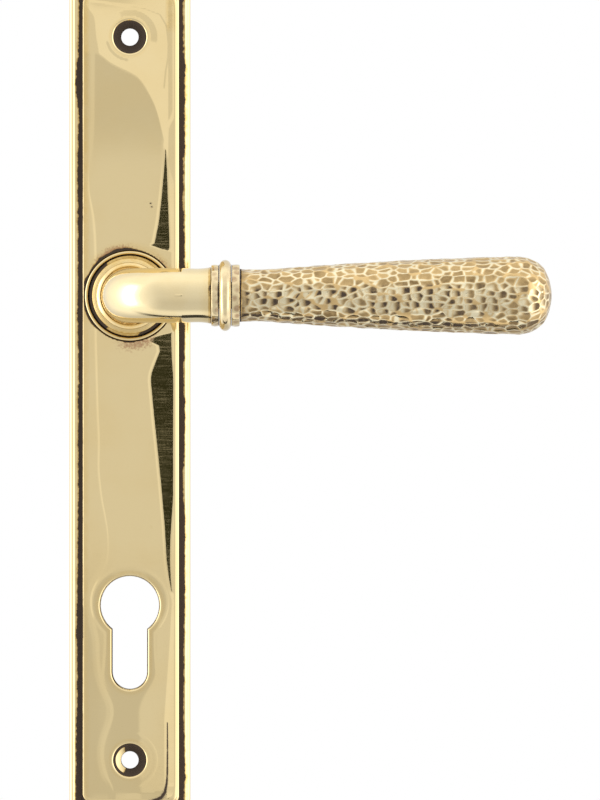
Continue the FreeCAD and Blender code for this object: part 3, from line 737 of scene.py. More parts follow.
def face_height(x, z):
    """The polished face's height, read between the four nearest points of its relief."""
    x, z = np.asarray(x, float), np.asarray(z, float)
    toward = out_from_middle(x, z) * np.where(x < 0, -1, 1)
    u = np.clip((toward - RELIEF_X[0]) / FINE_X, 0, len(RELIEF_X) - 1.001)
    v = np.clip((z - RELIEF_Z[0]) / FINE_Z, 0, len(RELIEF_Z) - 1.001)
    i, j = u.astype(int), v.astype(int)
    a, b = u - i, v - j
    lower = RELIEF[j, i] * (1 - a) + RELIEF[j, i + 1] * a
    upper = RELIEF[j + 1, i] * (1 - a) + RELIEF[j + 1, i + 1] * a
    rise = lower * (1 - b) + upper * b
    return np.clip(FACE_MIDDLE_Y + rise, FACE_MIDDLE_Y, FACE_LOWEST_Y)


# Backplate: small up and down tilts left by hand polishing, which move the reflections.
# A tone of 1 reflects the paler band of the studio and -1 the dimmer one; each pair is where a tone
# starts to change and where it has changed.

TONE_TILT = 0.030

# The lower edge of the pale zone round the upper fixing hole, as (x, z), and its left edge, as (z, x)
PALE_EDGE = (
    (-9.2, 72.4), (-8.4, 71.6), (-7, 70), (-3.8, 68.2), (0.4, 66.3), (3.4, 64.4), (4.7, 61.8), (7.3, 57.5),
    (8.7, 53.5), (9.6, 49.4), (10.65, 43.3), (14, 30),
)
PALE_LEFT = (
    (70, -9.0), (73.2, -9.2), (77, -9.9), (81, -10.2), (83.6, -10.6), (85, -11.8), (86.5, -13.0),
    (88, -13.6),
)
PALE_EDGE_ROUNDING = 1.5
PALE_LEFT_ROUNDING = 1.0
PALE_RIGHT = (11.6, 11.2)

# Two parts of rings beside the upper hole: their edges, which way they lie and how far they reach
CRESCENT = {"inner": (6.1, 6.3), "outer": (8.4, 8.1), "facing": 0.9, "reach": (1.25, 1.0)}
SMEAR = {"inner": (6.3, 6.6), "outer": (7.4, 7.1), "facing": -2.3, "reach": (0.8, 0.5)}
# A fine darker line across the top and down the right, as (x, z)
TOP_LINE = (
    (-14.2, 88.2), (-2.2, 86.5), (4.4, 85.4), (9.0, 83.6), (10.9, 80.3), (11.5, 74.8), (11.4, 71.0),
    (10.7, 67.0), (10.2, 62.0),
)
TOP_LINE_WIDTH = 0.35

# The wavy line that the mop left down the left side, as (z, x)
LEFT_WAVE = (
    (-151, -5.0), (-147, -4.4), (-144.7, -6.0), (-141, -7.6), (-136, -8.4), (-131.5, -7.6), (-127, -5.7),
    (-123, -4.9), (-120.4, -5.7), (-117, -7.6), (-112.7, -9.0), (-107, -9.5), (-102, -9.5), (-96.7, -10.9),
    (-90.7, -11.7), (-87, -10.9), (-84, -9.8), (-81.4, -7.6), (-78, -6.4), (-71, -6.4), (-65.4, -7.3),
    (-60, -8.4), (-51.7, -9.3), (-43.4, -9.1), (-35, -9.5), (-24, -9.8), (-13, -10.1), (15, -10.2),
    (20.5, -10.5), (25, -11.0), (30, -12.1), (34, -12.3), (39, -12.1), (46, -11.3), (52, -11.0), (90, -10.8),
)
LEFT_WAVE_ROUNDING = 2.2
LEFT_WAVE_WIDTH = 0.38

CONTOUR_BESIDE_DARK = 0.6
CONTOUR_WIDTH = 0.42
CONTOUR_TOP = 46
LOW_PALE = (7.0, 9.2)
LOW_PALE_SHIFT = 5.2
LOW_PALE_TOP = (-86, -100)
LOW_PALE_WIDENS = (-110, -124)
LOW_LEFT_X = -7.6
LOW_LEFT_WIDTH = 2.4
DIM_ABOVE = (20, 56)
DIM_BELOW = (-60, -112)
HOLE_CONTOUR_R = 8.2
HOLE_SHADE_R = 7.2
KEY_CONTOUR = 2.6
KEY_SHADE = 1.5
SHUT_TONE = 1.2
SHUT_WIDTH = 0.55
CORNER_TONE = 1.6
CORNER_X = (10.9, 11.3)
CORNER_Z = (-144.5, -146.5)


def part_of_ring(x, z, inner, outer, facing, reach):
    """A part of a ring round the upper fixing hole, with soft edges."""
    up = z - FIXINGS_Z[0]
    away = np.hypot(x, up)
    turn = np.abs(np.arctan2(up, x) - facing)
    return soft_step(*inner, away) * soft_step(*outer, away) * soft_step(*reach, turn)


def pale_zone_tone(x, z):
    """The pale zone at the top, dimmed by a crescent, a smear and a fine line."""
    above = z - eased(x, PALE_EDGE, PALE_EDGE_ROUNDING)
    inward = x - eased(z, PALE_LEFT, PALE_LEFT_ROUNDING)
    tone = soft_step(-0.4, 0.4, above) * soft_step(*PALE_RIGHT, x) * soft_step(-0.3, 0.3, inward)
    tone = tone * (1 - part_of_ring(x, z, **CRESCENT))
    smear = part_of_ring(x, z, **SMEAR)
    tone = tone * (1 - 0.9 * smear) - 0.5 * smear
    return tone * (1 - 1.1 * ridge(away_from_line(x, z, TOP_LINE), TOP_LINE_WIDTH))


def left_wave_tone(x, z):
    """The mop's pale wavy line, and the strip outside it that dims toward the edge."""
    inward = x - eased(z, LEFT_WAVE, LEFT_WAVE_ROUNDING)
    strip = 0.22 * soft_step(0.0, -0.6, inward) - 0.25 * soft_step(-1.2, -2.2, inward)
    return 0.8 * ridge(inward, LEFT_WAVE_WIDTH) + strip


def dark_side_tone(x, z, below):
    """Pale contours on both sides of the dark reflection."""
    start, end = dark_edges(z)
    beyond = 0.75 * soft_step(0.1, 0.5, x - end) * below
    contour = 0.85 * ridge(x - start + CONTOUR_BESIDE_DARK, CONTOUR_WIDTH)
    return beyond + contour * (x > 0) * (z < CONTOUR_TOP)


def level_tone(x, z, below):
    """How the face dims toward both ends, and its paler lower right and lower left."""
    shift = LOW_PALE_SHIFT * soft_step(*LOW_PALE_WIDENS, z)
    low = 0.8 * soft_step(*LOW_PALE, x + shift) + 0.22 * ridge(x - LOW_LEFT_X, LOW_LEFT_WIDTH)
    dim = 0.85 * below * soft_step(*DIM_ABOVE, z) + 0.65 * soft_step(*DIM_BELOW, z)
    return low * soft_step(*LOW_PALE_TOP, z) - dim


def openings_tone(x, z):
    """Contours round the lower fixing hole and round the cylinder's opening."""
    hole = np.hypot(x, z - FIXINGS_Z[1])
    rightward = x / np.maximum(hole, 0.1)
    tone = 0.7 * ridge(hole - HOLE_CONTOUR_R, 0.35) * soft_step(-0.1, 0.8, rightward)
    tone = tone - 0.35 * ridge(hole - HOLE_SHADE_R, 0.7) * soft_step(-0.7, 0.3, rightward)
    gap = keyhole_gap(x, z)
    beside = soft_step(3.5, 7.5, np.abs(x)) * soft_step(-118, -108, z)
    tone = tone + 0.9 * ridge(gap - KEY_CONTOUR - 0.5 * np.sin(z / 5), 0.4) * beside
    return tone - (0.2 + 0.4 * beside) * ridge(gap - KEY_SHADE, 0.8)


def face_tilt(x, z):
    """The sum of the tones; where the dark reflection has shut, its line is tilted out of sight."""
    below = soft_step(0.5, -0.5, z - eased(x, PALE_EDGE, PALE_EDGE_ROUNDING))
    tone = pale_zone_tone(x, z) + left_wave_tone(x, z) * below + dark_side_tone(x, z, below)
    tone = tone + level_tone(x, z, below) + openings_tone(x, z)
    start, end = dark_edges(z)
    shut = soft_step(0.25, 0.05, end - start) * ridge(x - start, SHUT_WIDTH)
    corner = soft_step(*CORNER_X, x) * soft_step(*CORNER_Z, z)
    return np.clip(tone + (SHUT_TONE - tone) * shut, -1, SHUT_TONE) + CORNER_TONE * corner


def face_normals(points):
    """Normals of the polished face from its slopes across and its small tilts."""
    step = 0.05
    x, z = points[:, 0], points[:, 2]
    gap_x = (riser_gap(x + step, z) - riser_gap(x - step, z)) / (2 * step)
    gap_z = (riser_gap(x, z + step) - riser_gap(x, z - step)) / (2 * step)
    slope = across_slope(out_from_middle(x, z), z, soft_step(*MIDDLE_BLEND, x))
    up = -gap_z * slope + TONE_TILT * face_tilt(x, z)
    normals = np.stack([-gap_x * slope, -np.ones_like(slope), up], axis=1)
    return normals / np.linalg.norm(normals, axis=1)[:, None]


# Backplate: sides, flange and riser

EDGE_SPACING = 1.0
# Where the rows of points lie across the flange, closer at the patina's edge and the riser's foot
FLANGE_ROWS = (
    1.45, 1.6, 1.75, 1.95, 2.2, 2.5, 2.9, 3.3, 3.42, 3.46, 3.6, 3.7, 3.76, 3.82, 3.87, FLANGE_WIDTH,
)
FACE_EDGE = 0.3
FACE_EDGE_Y = -7.9
FOOT_FILLET = 0.22
FOOT_BEVEL = 0.46
BEVEL_SLOPE = 0.8
RIGHT_SIDE = (12.0, 13.8)
# How far in from the plate's side the patina's edge runs: on the right, and on the left as (z, inset)
RIGHT_BAND = 1.85
LEFT_BAND = (
    (-150, 1.95), (-125, 1.95), (-121.5, 2.45), (-60, 2.5), (55, 2.5), (62, 1.95), (67, 1.9), (72, 2.4),
    (90, 2.8),
)
# Where the right band has a wide golden fringe, below and above
WARM_LOW = (-132, -142)
WARM_HIGH = (4, 12)
# How much patina stays on the last rows, up the riser and over its edge
RISER_PATINA_RIGHT = (0.9, 0.5, 0.1, 0.0, 0.0)
RISER_PATINA_LEFT = (1.0, 1.0, 1.0, 0.75, 0.0)


def riser_foot(inset, right):
    """How far the riser's foot stands above the flange: a small fillet, and a bevel on the right."""
    part = np.clip(inset - (FLANGE_WIDTH - FOOT_FILLET), 0, FOOT_FILLET)
    fillet = FOOT_FILLET - np.sqrt(FOOT_FILLET**2 - part**2)
    bevel = BEVEL_SLOPE * np.clip(inset - (FLANGE_WIDTH - FOOT_BEVEL), 0, FOOT_BEVEL)
    return fillet + (bevel - fillet) * right


def edge_profile():
    """The plate's side as (inset, y); a y of None is found later between the riser and the face."""
    profile = [(0.0, 0.0), (0.0, -2.0)]
    for turn in np.linspace(0, QUARTER_TURN, 9):
        profile.append((FLANGE_EDGE_R * (1 - math.cos(turn)),
                        FLANGE_TOP_Y + FLANGE_EDGE_R * (1 - math.sin(turn))))
    profile += [(inset, FLANGE_TOP_Y) for inset in FLANGE_ROWS]
    profile += [(FLANGE_WIDTH, y) for y in (-6.4, -7.2, FACE_EDGE_Y)]
    for turn in (0.5, 0.95, QUARTER_TURN):
        profile.append((FLANGE_WIDTH + FACE_EDGE * (1 - math.cos(turn)), None))
    return profile


def band_recess(inset, outline, right):
    """The patina on the flange, which is polished off the bevel at the riser's right foot."""
    x, z = outline.T
    warm = np.maximum(soft_step(*WARM_LOW, z), soft_step(*WARM_HIGH, z)) * (x > 0)
    middle = np.where(x > 0, RIGHT_BAND, along(z, LEFT_BAND))
    clean = right * (inset > FLANGE_WIDTH - FOOT_BEVEL)
    return np.clip(0.5 + (inset - middle) / (2.0 + 0.8 * warm), 0, 1) * (1 - clean)


def make_plate_edge(form):
    """The plate's sides, the flange with its patina, the riser and its eased top edge."""
    rows, recess = [], []
    top = face_height(*rounded_outline(FLANGE_WIDTH + FACE_EDGE, FACE_CORNER_R, EDGE_SPACING).T)
    for inset, y in edge_profile():
        share = min(inset / FLANGE_WIDTH, 1.0)
        corner = PLATE_CORNER_R + (FACE_CORNER_R - PLATE_CORNER_R) * share
        outline = rounded_outline(inset, corner, EDGE_SPACING)
        right = soft_step(*RIGHT_SIDE, outline[:, 0])
        if y is None:
            part = (inset - FLANGE_WIDTH) / FACE_EDGE
            y = FACE_EDGE_Y + (top - FACE_EDGE_Y) * math.sqrt(1 - (1 - part) ** 2)
        elif y == FLANGE_TOP_Y:
            y = y - riser_foot(inset, right)
        rows.append(at_height(outline, y))
        recess.append(band_recess(inset, outline, right))
    for row, on_right, on_left in zip(recess[-5:], RISER_PATINA_RIGHT, RISER_PATINA_LEFT):
        row *= np.where(outline[:, 0] > 0, on_right, on_left)
    form.add_rows(rows, recess=np.array(recess))
    return rows[-1]


# Backplate: patina, stain and dark lines on the face, with painted reflection and shade: the corner's dark
# curl and the deeper gold

# Red stain round the ring: how strong, which way it lies, how wide and how far it spreads
RING_STAINS = (
    (0.9, -1.42, (0.65, 0.15), (4.6, 0.6)),
    (1.0, 1.95, (0.75, 0.1), (3.2, 0.4)),
    (0.6, 0.75, (0.5, 0.1), (2.2, 0.3)),
)
# Patina close round the ring: how much thicker, which way it lies and how wide
RING_PATINA_WIDTH = 0.16
RING_PATINA = ((0.62, 2.0, (0.9, 0.2)), (0.7, 3.0, (0.4, 0.1)), (0.3, -2.7, (0.5, 0.1)))

# A painted reflection: a dark line that curls round the lower right corner, as (x, z), and its width, as (z,
# width)
CORNER_LINE = (
    (11.15, -127.0), (11.2, -134.0), (11.15, -142.0), (10.95, -145.0), (10.5, -147.3), (9.6, -148.9),
    (8.2, -149.8), (6.2, -150.4),
)
CORNER_LINE_WIDTH = ((-149.5, 0.48), (-148, 0.42), (-146, 0.27), (-142, 0.19), (-134, 0.16), (-127, 0.1))
# Two small dark specks, as (x, z)
SPECKS = ((6.2, 27.5), (6.5, 26.5))
SPECK_R = 0.22
SPECK_LONGER = 1.3


def from_ring(x, z):
    """Distance from the ring's seat, and the way from the spindle's axis."""
    return np.hypot(x, z) - SEAT_R, np.arctan2(z, x)


def plate_stain(x, z):
    """Reddish brown left by the ring's polishing."""
    far, turn = from_ring(x, z)
    patches = [strength * soft_step(*wide, np.abs(turn - facing)) * soft_step(*spread, far)
               for strength, facing, wide, spread in RING_STAINS]
    return np.maximum.reduce(patches)


def plate_patina(x, z):
    """Brown patina close round the ring."""
    far, turn = from_ring(x, z)
    thick = RING_PATINA_WIDTH + sum(more * soft_step(*wide, np.abs(turn - facing))
                                    for more, facing, wide in RING_PATINA)
    return np.clip(1.0 - 0.5 * far / thick, 0, 1)


def plate_shade(x, z):
    """The corner's dark curl, a painted reflection, and the specks."""
    curl = 2.6 * ridge(away_from_line(x, z, CORNER_LINE), along(z, CORNER_LINE_WIDTH))
    shade = np.minimum(curl, 1.8)
    for speck_x, speck_z in SPECKS:
        away = np.hypot((x - speck_x) / SPECK_LONGER, z - speck_z)
        shade = np.maximum(shade, 1.6 * ridge(away, SPECK_R))
    return shade


def plate_painted_gold(x, z):
    """Painted deeper gold down the left side, in the upper right corner, above the ring and round the
    openings: down the left side it stands in for brass reflected in brass, round the openings for shade.
    """
    left = 0.85 * soft_step(-11.3, -13.3, x) * (0.6 + 0.4 * soft_step(-60, 60, z))
    corner = 0.7 * soft_step(10.0, 11.5, x) * soft_step(76.5, 80.5, z)
    above_ring = 0.5 * soft_step(3.5, 0.5, np.hypot(x, z) - SEAT_R) * soft_step(-2.0, 4.0, z)
    key_rim = 0.45 * ridge(keyhole_gap(x, z) - 1.0, 0.7)
    hole_rims = [0.4 * ridge(np.hypot(x, z - place) - 5.9, 0.4) for place in FIXINGS_Z]
    return np.maximum.reduce([left, corner, above_ring, key_rim, *hole_rims])


# Backplate: the face's mesh

OPENING_LIP = 0.8
LIP_R = 5.6
SEAT_POINTS = 160
LIP_POINTS = 72
GRID_LEFT = 0.32
GRID_RIGHT = 0.2
GRID_CHANGE_X = 5.5
GRID_Z = 0.5
GRID_SIDE = 13.6
GRID_END = 4.4
CLEAR_OF_EDGES = 0.16
CLEAR_OF_DETAILS = 0.15
BESIDE_CURL = (-0.7, -0.45, -0.25, 0.0, 0.25, 0.45, 0.7)
BESIDE_DARK = (-0.3, -0.12, 0.0, 0.12, 0.3)
BESIDE_SPECK = 0.6
NOT_CLOSER = 0.09


def beside_line(line, offsets, spacing):
    """Rows of points that follow a line of straight runs at each offset to its left."""
    line = np.array(line, float)
    runs = np.diff(line, axis=0)
    lengths = np.hypot(*runs.T)
    travelled = np.concatenate([[0], np.cumsum(lengths)])
    places = np.arange(0, travelled[-1], spacing)
    run = np.clip(np.searchsorted(travelled, places, side="right") - 1, 0, len(runs) - 1)
    middle = np.stack([np.interp(places, travelled, side) for side in line.T], axis=1)
    left = np.stack([-runs[run, 1], runs[run, 0]], axis=1) / lengths[run][:, None]
    return np.concatenate([middle + offset * left for offset in offsets])


def grid_of(x, z):
    return np.stack([side.ravel() for side in np.meshgrid(x, z)], axis=1)


def points_by_details():
    """Close points along the edges of the dark reflections, the corner's curl and the specks."""
    rows = [beside_line(CORNER_LINE, BESIDE_CURL, 0.35)]
    for table in (DARK_START, DARK_END):
        shown = [(x, z) for z, x in table if x < 13.2 and z < 62]
        for low, high in zip(shown, shown[1:]):
            if math.dist(low, high) < 30:
                rows.append(beside_line((low, high), BESIDE_DARK, 0.4))
    near = np.arange(-BESIDE_SPECK, BESIDE_SPECK + 0.01, 0.15)
    rows += [grid_of(speck_x + near, speck_z + near) for speck_x, speck_z in SPECKS]
    points = np.concatenate(rows)
    _, first = np.unique(np.round(points / NOT_CLOSER), axis=0, return_index=True)
    return points[first]


def thinned(points, kept, gap):
    """The points that lie further than gap from every kept point."""
    tree = kdtree.KDTree(len(kept))
    for i, (x, z) in enumerate(kept):
        tree.insert((x, z, 0), i)
    tree.balance()
    return np.array([point for point in points if tree.find((point[0], point[1], 0))[2] > gap])


def points_on_face():
    """The face's inner points, closer on the right where its reflections change fast."""
    x = np.concatenate([np.arange(-GRID_SIDE, GRID_CHANGE_X, GRID_LEFT),
                        np.arange(GRID_CHANGE_X, GRID_SIDE + 0.1, GRID_RIGHT)])
    z = np.arange(PLATE_BOTTOM + GRID_END, PLATE_TOP - GRID_END + 0.1, GRID_Z)
    details = points_by_details()
    points = np.concatenate([thinned(grid_of(x, z), details, CLEAR_OF_DETAILS), details])
    x, z = points.T
    return points[(riser_gap(x, z) > FACE_EDGE + 0.1) & clear_of_openings(x, z, CLEAR_OF_EDGES)]


def circle_of(radius, count):
    turns = np.linspace(0, WHOLE_TURN, count, endpoint=False)
    return np.stack([radius * np.sin(turns), radius * np.cos(turns)], axis=1)


def make_plate_face(form, edge):
    """The face between its edge and its openings, over points close enough to carry its waves."""
    ring = circle_of(SEAT_R, SEAT_POINTS)
    lips = [circle_of(LIP_R, LIP_POINTS) + (0, place) for place in FIXINGS_Z]
    outlines = [edge[:, [0, 2]], ring, *lips, keyhole(OPENING_LIP)]
    edges, start = [], 0
    for outline in outlines:
        edges += [(start + i, start + (i + 1) % len(outline)) for i in range(len(outline))]
        start += len(outline)
    flat = np.concatenate([*outlines, points_on_face()])
    points, _, faces, *_ = delaunay_2d_cdt([Vector(p) for p in flat], edges, [], 0, 1e-6)
    points = np.array([tuple(p) for p in points])
    middles = points[np.array(faces)].mean(axis=1)
    faces = [face for face, kept in zip(faces, clear_of_openings(*middles.T, -0.01)) if kept]
    x, z = points.T
    # The hollow mark on the face is painted deeper gold, for reflection and shade
    form.add(np.stack([x, face_height(x, z), z], axis=1), faces, recess=plate_patina(x, z),
             stain=plate_stain(x, z), hollow=plate_painted_gold(x, z), shade=plate_shade(x, z))
    return ring, lips


# Backplate: its openings

LIP_TURN = ((LIP_R, -8.98), (5.25, -8.9), (4.95, -8.66))
CONE_RADII = (4.6, 4.35, 4.1, 3.8, 3.5, 3.1, 2.75)
CONE_START_Y = -4.0
# How the opening's lip turns in: what it is grown by, its y and its patina
OPENING_ROWS = (
    (0.6, -8.93, 0.0), (0.42, -8.83, 0.0), (0.26, -8.67, 0.0), (0.14, -8.48, 0.2), (0.06, -8.3, 0.9),
    (0.0, -8.0, 1.0), (0.0, -6.0, 1.0), (0.0, -3.0, 1.0), (0.0, 0.0, 1.0),
)


def make_seat(form, ring):
    """The ring's seat and the bore behind it, both brown."""
    wall = [at_height(ring, face_height(*ring.T)), at_height(ring, -8.6), at_height(ring, SEAT_Y)]
    form.add_rows(wall, recess=1.0)
    bore = ring * BUSH_R / SEAT_R
    floor = [at_height(ring, SEAT_Y), at_height(bore, SEAT_Y), at_height(bore, HOLLOW_FLOOR_Y)]
    form.add_rows(floor, recess=1.0)


def make_countersink(form, lip, place):
    """A fixing hole: its rolled lip, and a brown cone that is rubbed bright on the left of the lower one."""
    middle = np.array([0, place])
    steps = [(radius, y, 0.0) for radius, y in arc(*LIP_TURN, 5)[1:-1]]
    steps.append((*LIP_TURN[-1], 0.9))
    steps += [(radius, CONE_START_Y - radius, 1.0) for radius in CONE_RADII]
    steps += [(FIXING_HOLE_R, CONE_START_Y - FIXING_HOLE_R, 1.0), (FIXING_HOLE_R, 0.0, 1.0)]
    rows = [at_height(lip, face_height(*lip.T))]
    recess = [np.zeros(len(lip))]
    rubbed = 0.95 * soft_step(-0.5, -3.8, lip[:, 0]) * (place < 0)
    for radius, y, mark in steps:
        rows.append(at_height(middle + (lip - middle) * radius / LIP_R, y))
        recess.append(mark * (1 - rubbed * (2.7 < radius < 4.3)))
    form.add_rows(rows, recess=np.array(recess))


def make_opening(form):
    """The cylinder's opening: a soft lip, a thin dark line and brown walls."""
    outer = keyhole(OPENING_LIP)
    rows = [at_height(outer, face_height(*outer.T))]
    rows += [at_height(keyhole(grow), y) for grow, y, _ in OPENING_ROWS]
    form.add_rows(rows, recess=[0.0] + [mark for _, _, mark in OPENING_ROWS])


# Backplate: its back, and the whole


def node_mesh(name):
    """A node's points in millimetres and its faces."""
    mesh = nodes[name].data
    points = np.zeros(len(mesh.vertices) * 3)
    mesh.vertices.foreach_get("co", points)
    return points.reshape(-1, 3) / MM, [tuple(face.vertices) for face in mesh.polygons]


def add_kept(form, name, is_kept, **marks):
    """Adds the part of a node's own surface that is_kept says stays."""
    points, faces = node_mesh(name)
    kept = [face for face in faces if is_kept(points[list(face)])]
    used = sorted({i for face in kept for i in face})
    place = {i: k for k, i in enumerate(used)}
    form.add(points[used], [[place[i] for i in face] for face in kept], **marks)


def behind_plate(corners):
    """Whether a face of the backplate's solid lies on its back or in its hollow."""
    x, y, z = corners.T
    on_back = np.all(y > -0.001)
    in_hollow = np.all(y > HOLLOW_FLOOR_Y - 0.01) and np.all(np.abs(x) < HOLLOW_SIDE + 0.01)
    at_end = np.all(z > PLATE_TOP - 0.01) or np.all(z < PLATE_BOTTOM + 0.01)
    return on_back or (in_hollow and not at_end)


# How steeply the flange's edge is eased at a distance in from the plate's side
EASED_LEFT = ((0.5, 0.8), (0.75, 0.42), (1.0, 0.5), (1.3, 0.76), (1.5, 0.74), (1.85, 0.0))
EASED_RIGHT = ((0.35, 0.9), (0.7, 0.55), (0.95, 0.55), (1.2, 0.8), (1.4, 0.8), (1.7, 0.0))
EASED_TO = 2.05
CONE_BEND = 0.15


def plate_bends(points):
    """Normals of the hand-eased surfaces: the face, the flange's edges and the rubbed side of a cone."""
    x, y, z = points.T
    on_face = (y < -8.2) & (riser_gap(x, z) > FACE_EDGE + 0.05) & clear_of_openings(x, z, -0.01)
    normals = face_normals(points)
    normals[~on_face] = 0
    inset = PLATE_SIDE - np.abs(x)
    for side, table in ((-1, EASED_LEFT), (1, EASED_RIGHT)):
        on_edge = (x * side > 0) & (inset > table[0][0]) & (inset < EASED_TO) & (y < -4.8)
        on_edge &= (z < PLATE_TOP - 2) & (z > PLATE_BOTTOM + 2)
        slope = along(inset[on_edge], table)
        normals[on_edge] = np.stack([side * slope, -np.ones_like(slope), 0 * slope], axis=1)
    up = z - FIXINGS_Z[1]
    away = np.hypot(x, up)
    on_cone = (away < 4.6) & (away > 2.7) & (x < 0) & (y < -6)
    across = -CONE_BEND * x[on_cone]
    normals[on_cone] = np.stack([across, -np.ones_like(across), -CONE_BEND * up[on_cone]], axis=1)
    long = np.linalg.norm(normals, axis=1)
    return normals / np.where(long > 0, long, 1)[:, None]


def make_plate():
    plate = Form()
    edge = make_plate_edge(plate)
    seat_outline, lip_outlines = make_plate_face(plate, edge)
    make_seat(plate, seat_outline)
    for lip, place in zip(lip_outlines, FIXINGS_Z):
        make_countersink(plate, lip, place)
    make_opening(plate)
    add_kept(plate, "backplate", behind_plate, recess=0.75)
    plate.piece("plate_front", PLATE_BRASS, "plate", ["backplate"],
                sharp=30.0, bends=plate_bends)


# Neck ring

RING_CUTS = 180
RING_FOOT_EDGE = ((13.2, SEAT_Y), (13.27, -8.03), (RING_R, -8.1))
RING_LIP = ((RING_R, -10.5), (12.86, -11.0), (RING_LIP_IN, -10.5))
RING_FILLET = ((RING_LIP_IN, -9.45), (12.33, -9.27), (12.15, RING_FLOOR_Y))


def make_ring():
    """The ring pressed into the plate; patina lies under its lip, inside and out."""
    profile = joined(
        straight((BUSH_R, SEAT_Y), RING_FOOT_EDGE[0], 4),
        arc(*RING_FOOT_EDGE, 2),
        straight(RING_FOOT_EDGE[-1], RING_LIP[0], 4),
        arc(*RING_LIP, 14),
        straight(RING_LIP[-1], RING_FILLET[0], 3),
        arc(*RING_FILLET, 3),
        straight(RING_FILLET[-1], (BUSH_R, RING_FLOOR_Y), 4),
        straight((BUSH_R, RING_FLOOR_Y), (BUSH_R, SEAT_Y), 2),
    )
    marks = []
    for radius, y in profile:
        inside = y > RING_FLOOR_Y - 0.1 or (radius < RING_LIP_IN + 0.05 and y > -10.4)
        beside = radius > RING_R - 0.05 and y > -10.3
        marks.append(1.0 if inside else 0.45 if beside else 0.0)
    ring = Form()
    ring.add_rows(turned_on_spindle(profile, RING_CUTS), loop=True, recess=marks, hollow=0.55)
    ring.piece("neck_ring_fine", RING_BRASS, "plate", ["neck_ring"])


# Lever neck

NECK_CUTS = 144
BEND_CUTS = 32
WAIST_CUTS = 20
FLARE_CUTS = 60
FOOT_EDGE = ((11.75, FOOT_Y), (11.94, -10.2), (12.0, -10.4))
FOOT_LIP = ((12.0, -10.4), (11.95, -10.6), (11.8, -10.7))
FLARE = ((11.8, -10.7), (9.15, -12.15), (NECK_R, -15.0))
NECK_END = ((24.05, 8.36), (24.2, 8.33), (NECK_END_X, 8.2))
# The arm's radius from bend to collar, as a curve through its waist
WAIST_FALL = 1.43
WAIST_RISE = 1.69
# Fine turned grooves of the foot: radius, width and depth
FOOT_GROOVES = ((11.15, 0.13, 0.12), (10.5, 0.15, -0.05), (9.9, 0.12, 0.08))
DARK_GROOVES = (11.15, 9.9)
GROOVES_TOP_Y = -14.5
GROOVES_LOW_Y = -10.6
FOOT_TOP_Y = -14.0
# Patina and deeper gold up from the foot, as (row, mark), and gold toward the collar
FOOT_PATINA = ((0, 1.0), (5, 1.0), (6, 0.45), (8, 0.45), (9, 0.42), (24, 0.2), (25, 0.0))
FOOT_GOLD = ((0, 0.95), (23, 0.95), (24, 0.9), (59, 0.35), (60, 0.35), (89, 0.0))
COLLAR_GOLD = 0.7
COLLAR_GOLD_ROWS = 14
# The narrow flat filed under the arm: how many degrees down from the front it faces
FLAT_TURN = 51.3
ARM_LEAN = 0.075


def foot_stations():
    """The foot, flare and stem as (centre, way ahead, radius)."""
    foot = joined(
        straight((8.0, FOOT_Y), FOOT_EDGE[0], 3),
        arc(*FOOT_EDGE, 5),
        arc(*FOOT_LIP, 3),
        arc(*FLARE, FLARE_CUTS),
        straight(FLARE[-1], (NECK_R, BEND_START_Y), 12),
    )
    stations = []
    for radius, y in foot:
        groove = sum(deep * float(ridge(radius - at, wide)) for at, wide, deep in FOOT_GROOVES)
        grooved = GROOVES_TOP_Y < y < GROOVES_LOW_Y
        stations.append(((0, y + groove * grooved), (0, -1), radius))
    return stations


def bend_stations():
    stations = []
    for step in range(1, BEND_CUTS + 1):
        turn = QUARTER_TURN * step / BEND_CUTS
        centre = (BEND_R - BEND_R * math.cos(turn), BEND_START_Y - BEND_R * math.sin(turn))
        stations.append((centre, (math.sin(turn), -math.cos(turn)), NECK_R))
    return stations


def arm_stations():
    waist = []
    for step in range(WAIST_CUTS + 1):
        part = step / WAIST_CUTS
        x = BEND_R + (NECK_END[0][0] - BEND_R) * part
        waist.append((x, NECK_R - WAIST_FALL * part**2 + WAIST_RISE * part**3))
    arm = joined(
        waist,
        arc(*NECK_END, 3),
        straight(NECK_END[-1], (NECK_END_X, STUD_BORE_R), 2),
    )
    return [((x, LEVER_AXIS_Y), (1, 0), radius) for x, radius in arm[1:]]


def path_rows():
    """Rows of the foot, the flare, the stem, the bend and the arm, each a circle across the path."""
    stations = foot_stations() + bend_stations() + arm_stations()
    turns = np.linspace(0, WHOLE_TURN, NECK_CUTS, endpoint=False)
    rows = np.zeros((len(stations), NECK_CUTS, 3))
    for row, ((x, y), (ahead_x, ahead_y), radius) in zip(rows, stations):
        row[:, 0] = x - radius * np.cos(turns) * ahead_y
        row[:, 1] = y + radius * np.cos(turns) * ahead_x
        row[:, 2] = radius * np.sin(turns)
    return rows


def inside_neck(corners):
    """The journal, shank, socket and bores of the neck's own solid, but not its outside."""
    x, y, z = corners.T
    behind = np.all(y > FOOT_Y - 0.001)
    bore = np.all(np.hypot(y - LEVER_AXIS_Y, z) < STUD_BORE_R + 0.02) and np.all(x > 14.0)
    socket = np.all(np.abs(x) < 4.05) and np.all(np.abs(z) < 4.05) and np.all(y > -22.01)
    grub = np.all(np.hypot(x, y + 15.2) < 2.52) and np.all(z < 0)
    return behind or bore or socket or grub


def arm_bends(points):
    """The arm's slight waist hardly shows in its polish; a narrow flat was filed along under it."""
    x, y, z = points.T
    out = LEVER_AXIS_Y - y
    on_arm = (x > 15.5) & (x < 24.0) & (np.hypot(out, z) > 7.0)
    under = np.degrees(np.arctan2(-z, out))
    flat = soft_step(6.0, 3.5, np.abs(under - FLAT_TURN)) * soft_step(24.5, 21.5, x)
    under = np.radians(under + (FLAT_TURN - under) * flat)
    normals = np.stack([0 * x + ARM_LEAN, -np.cos(under), -np.sin(under)], axis=1)
    normals[~on_arm] = 0
    return normals


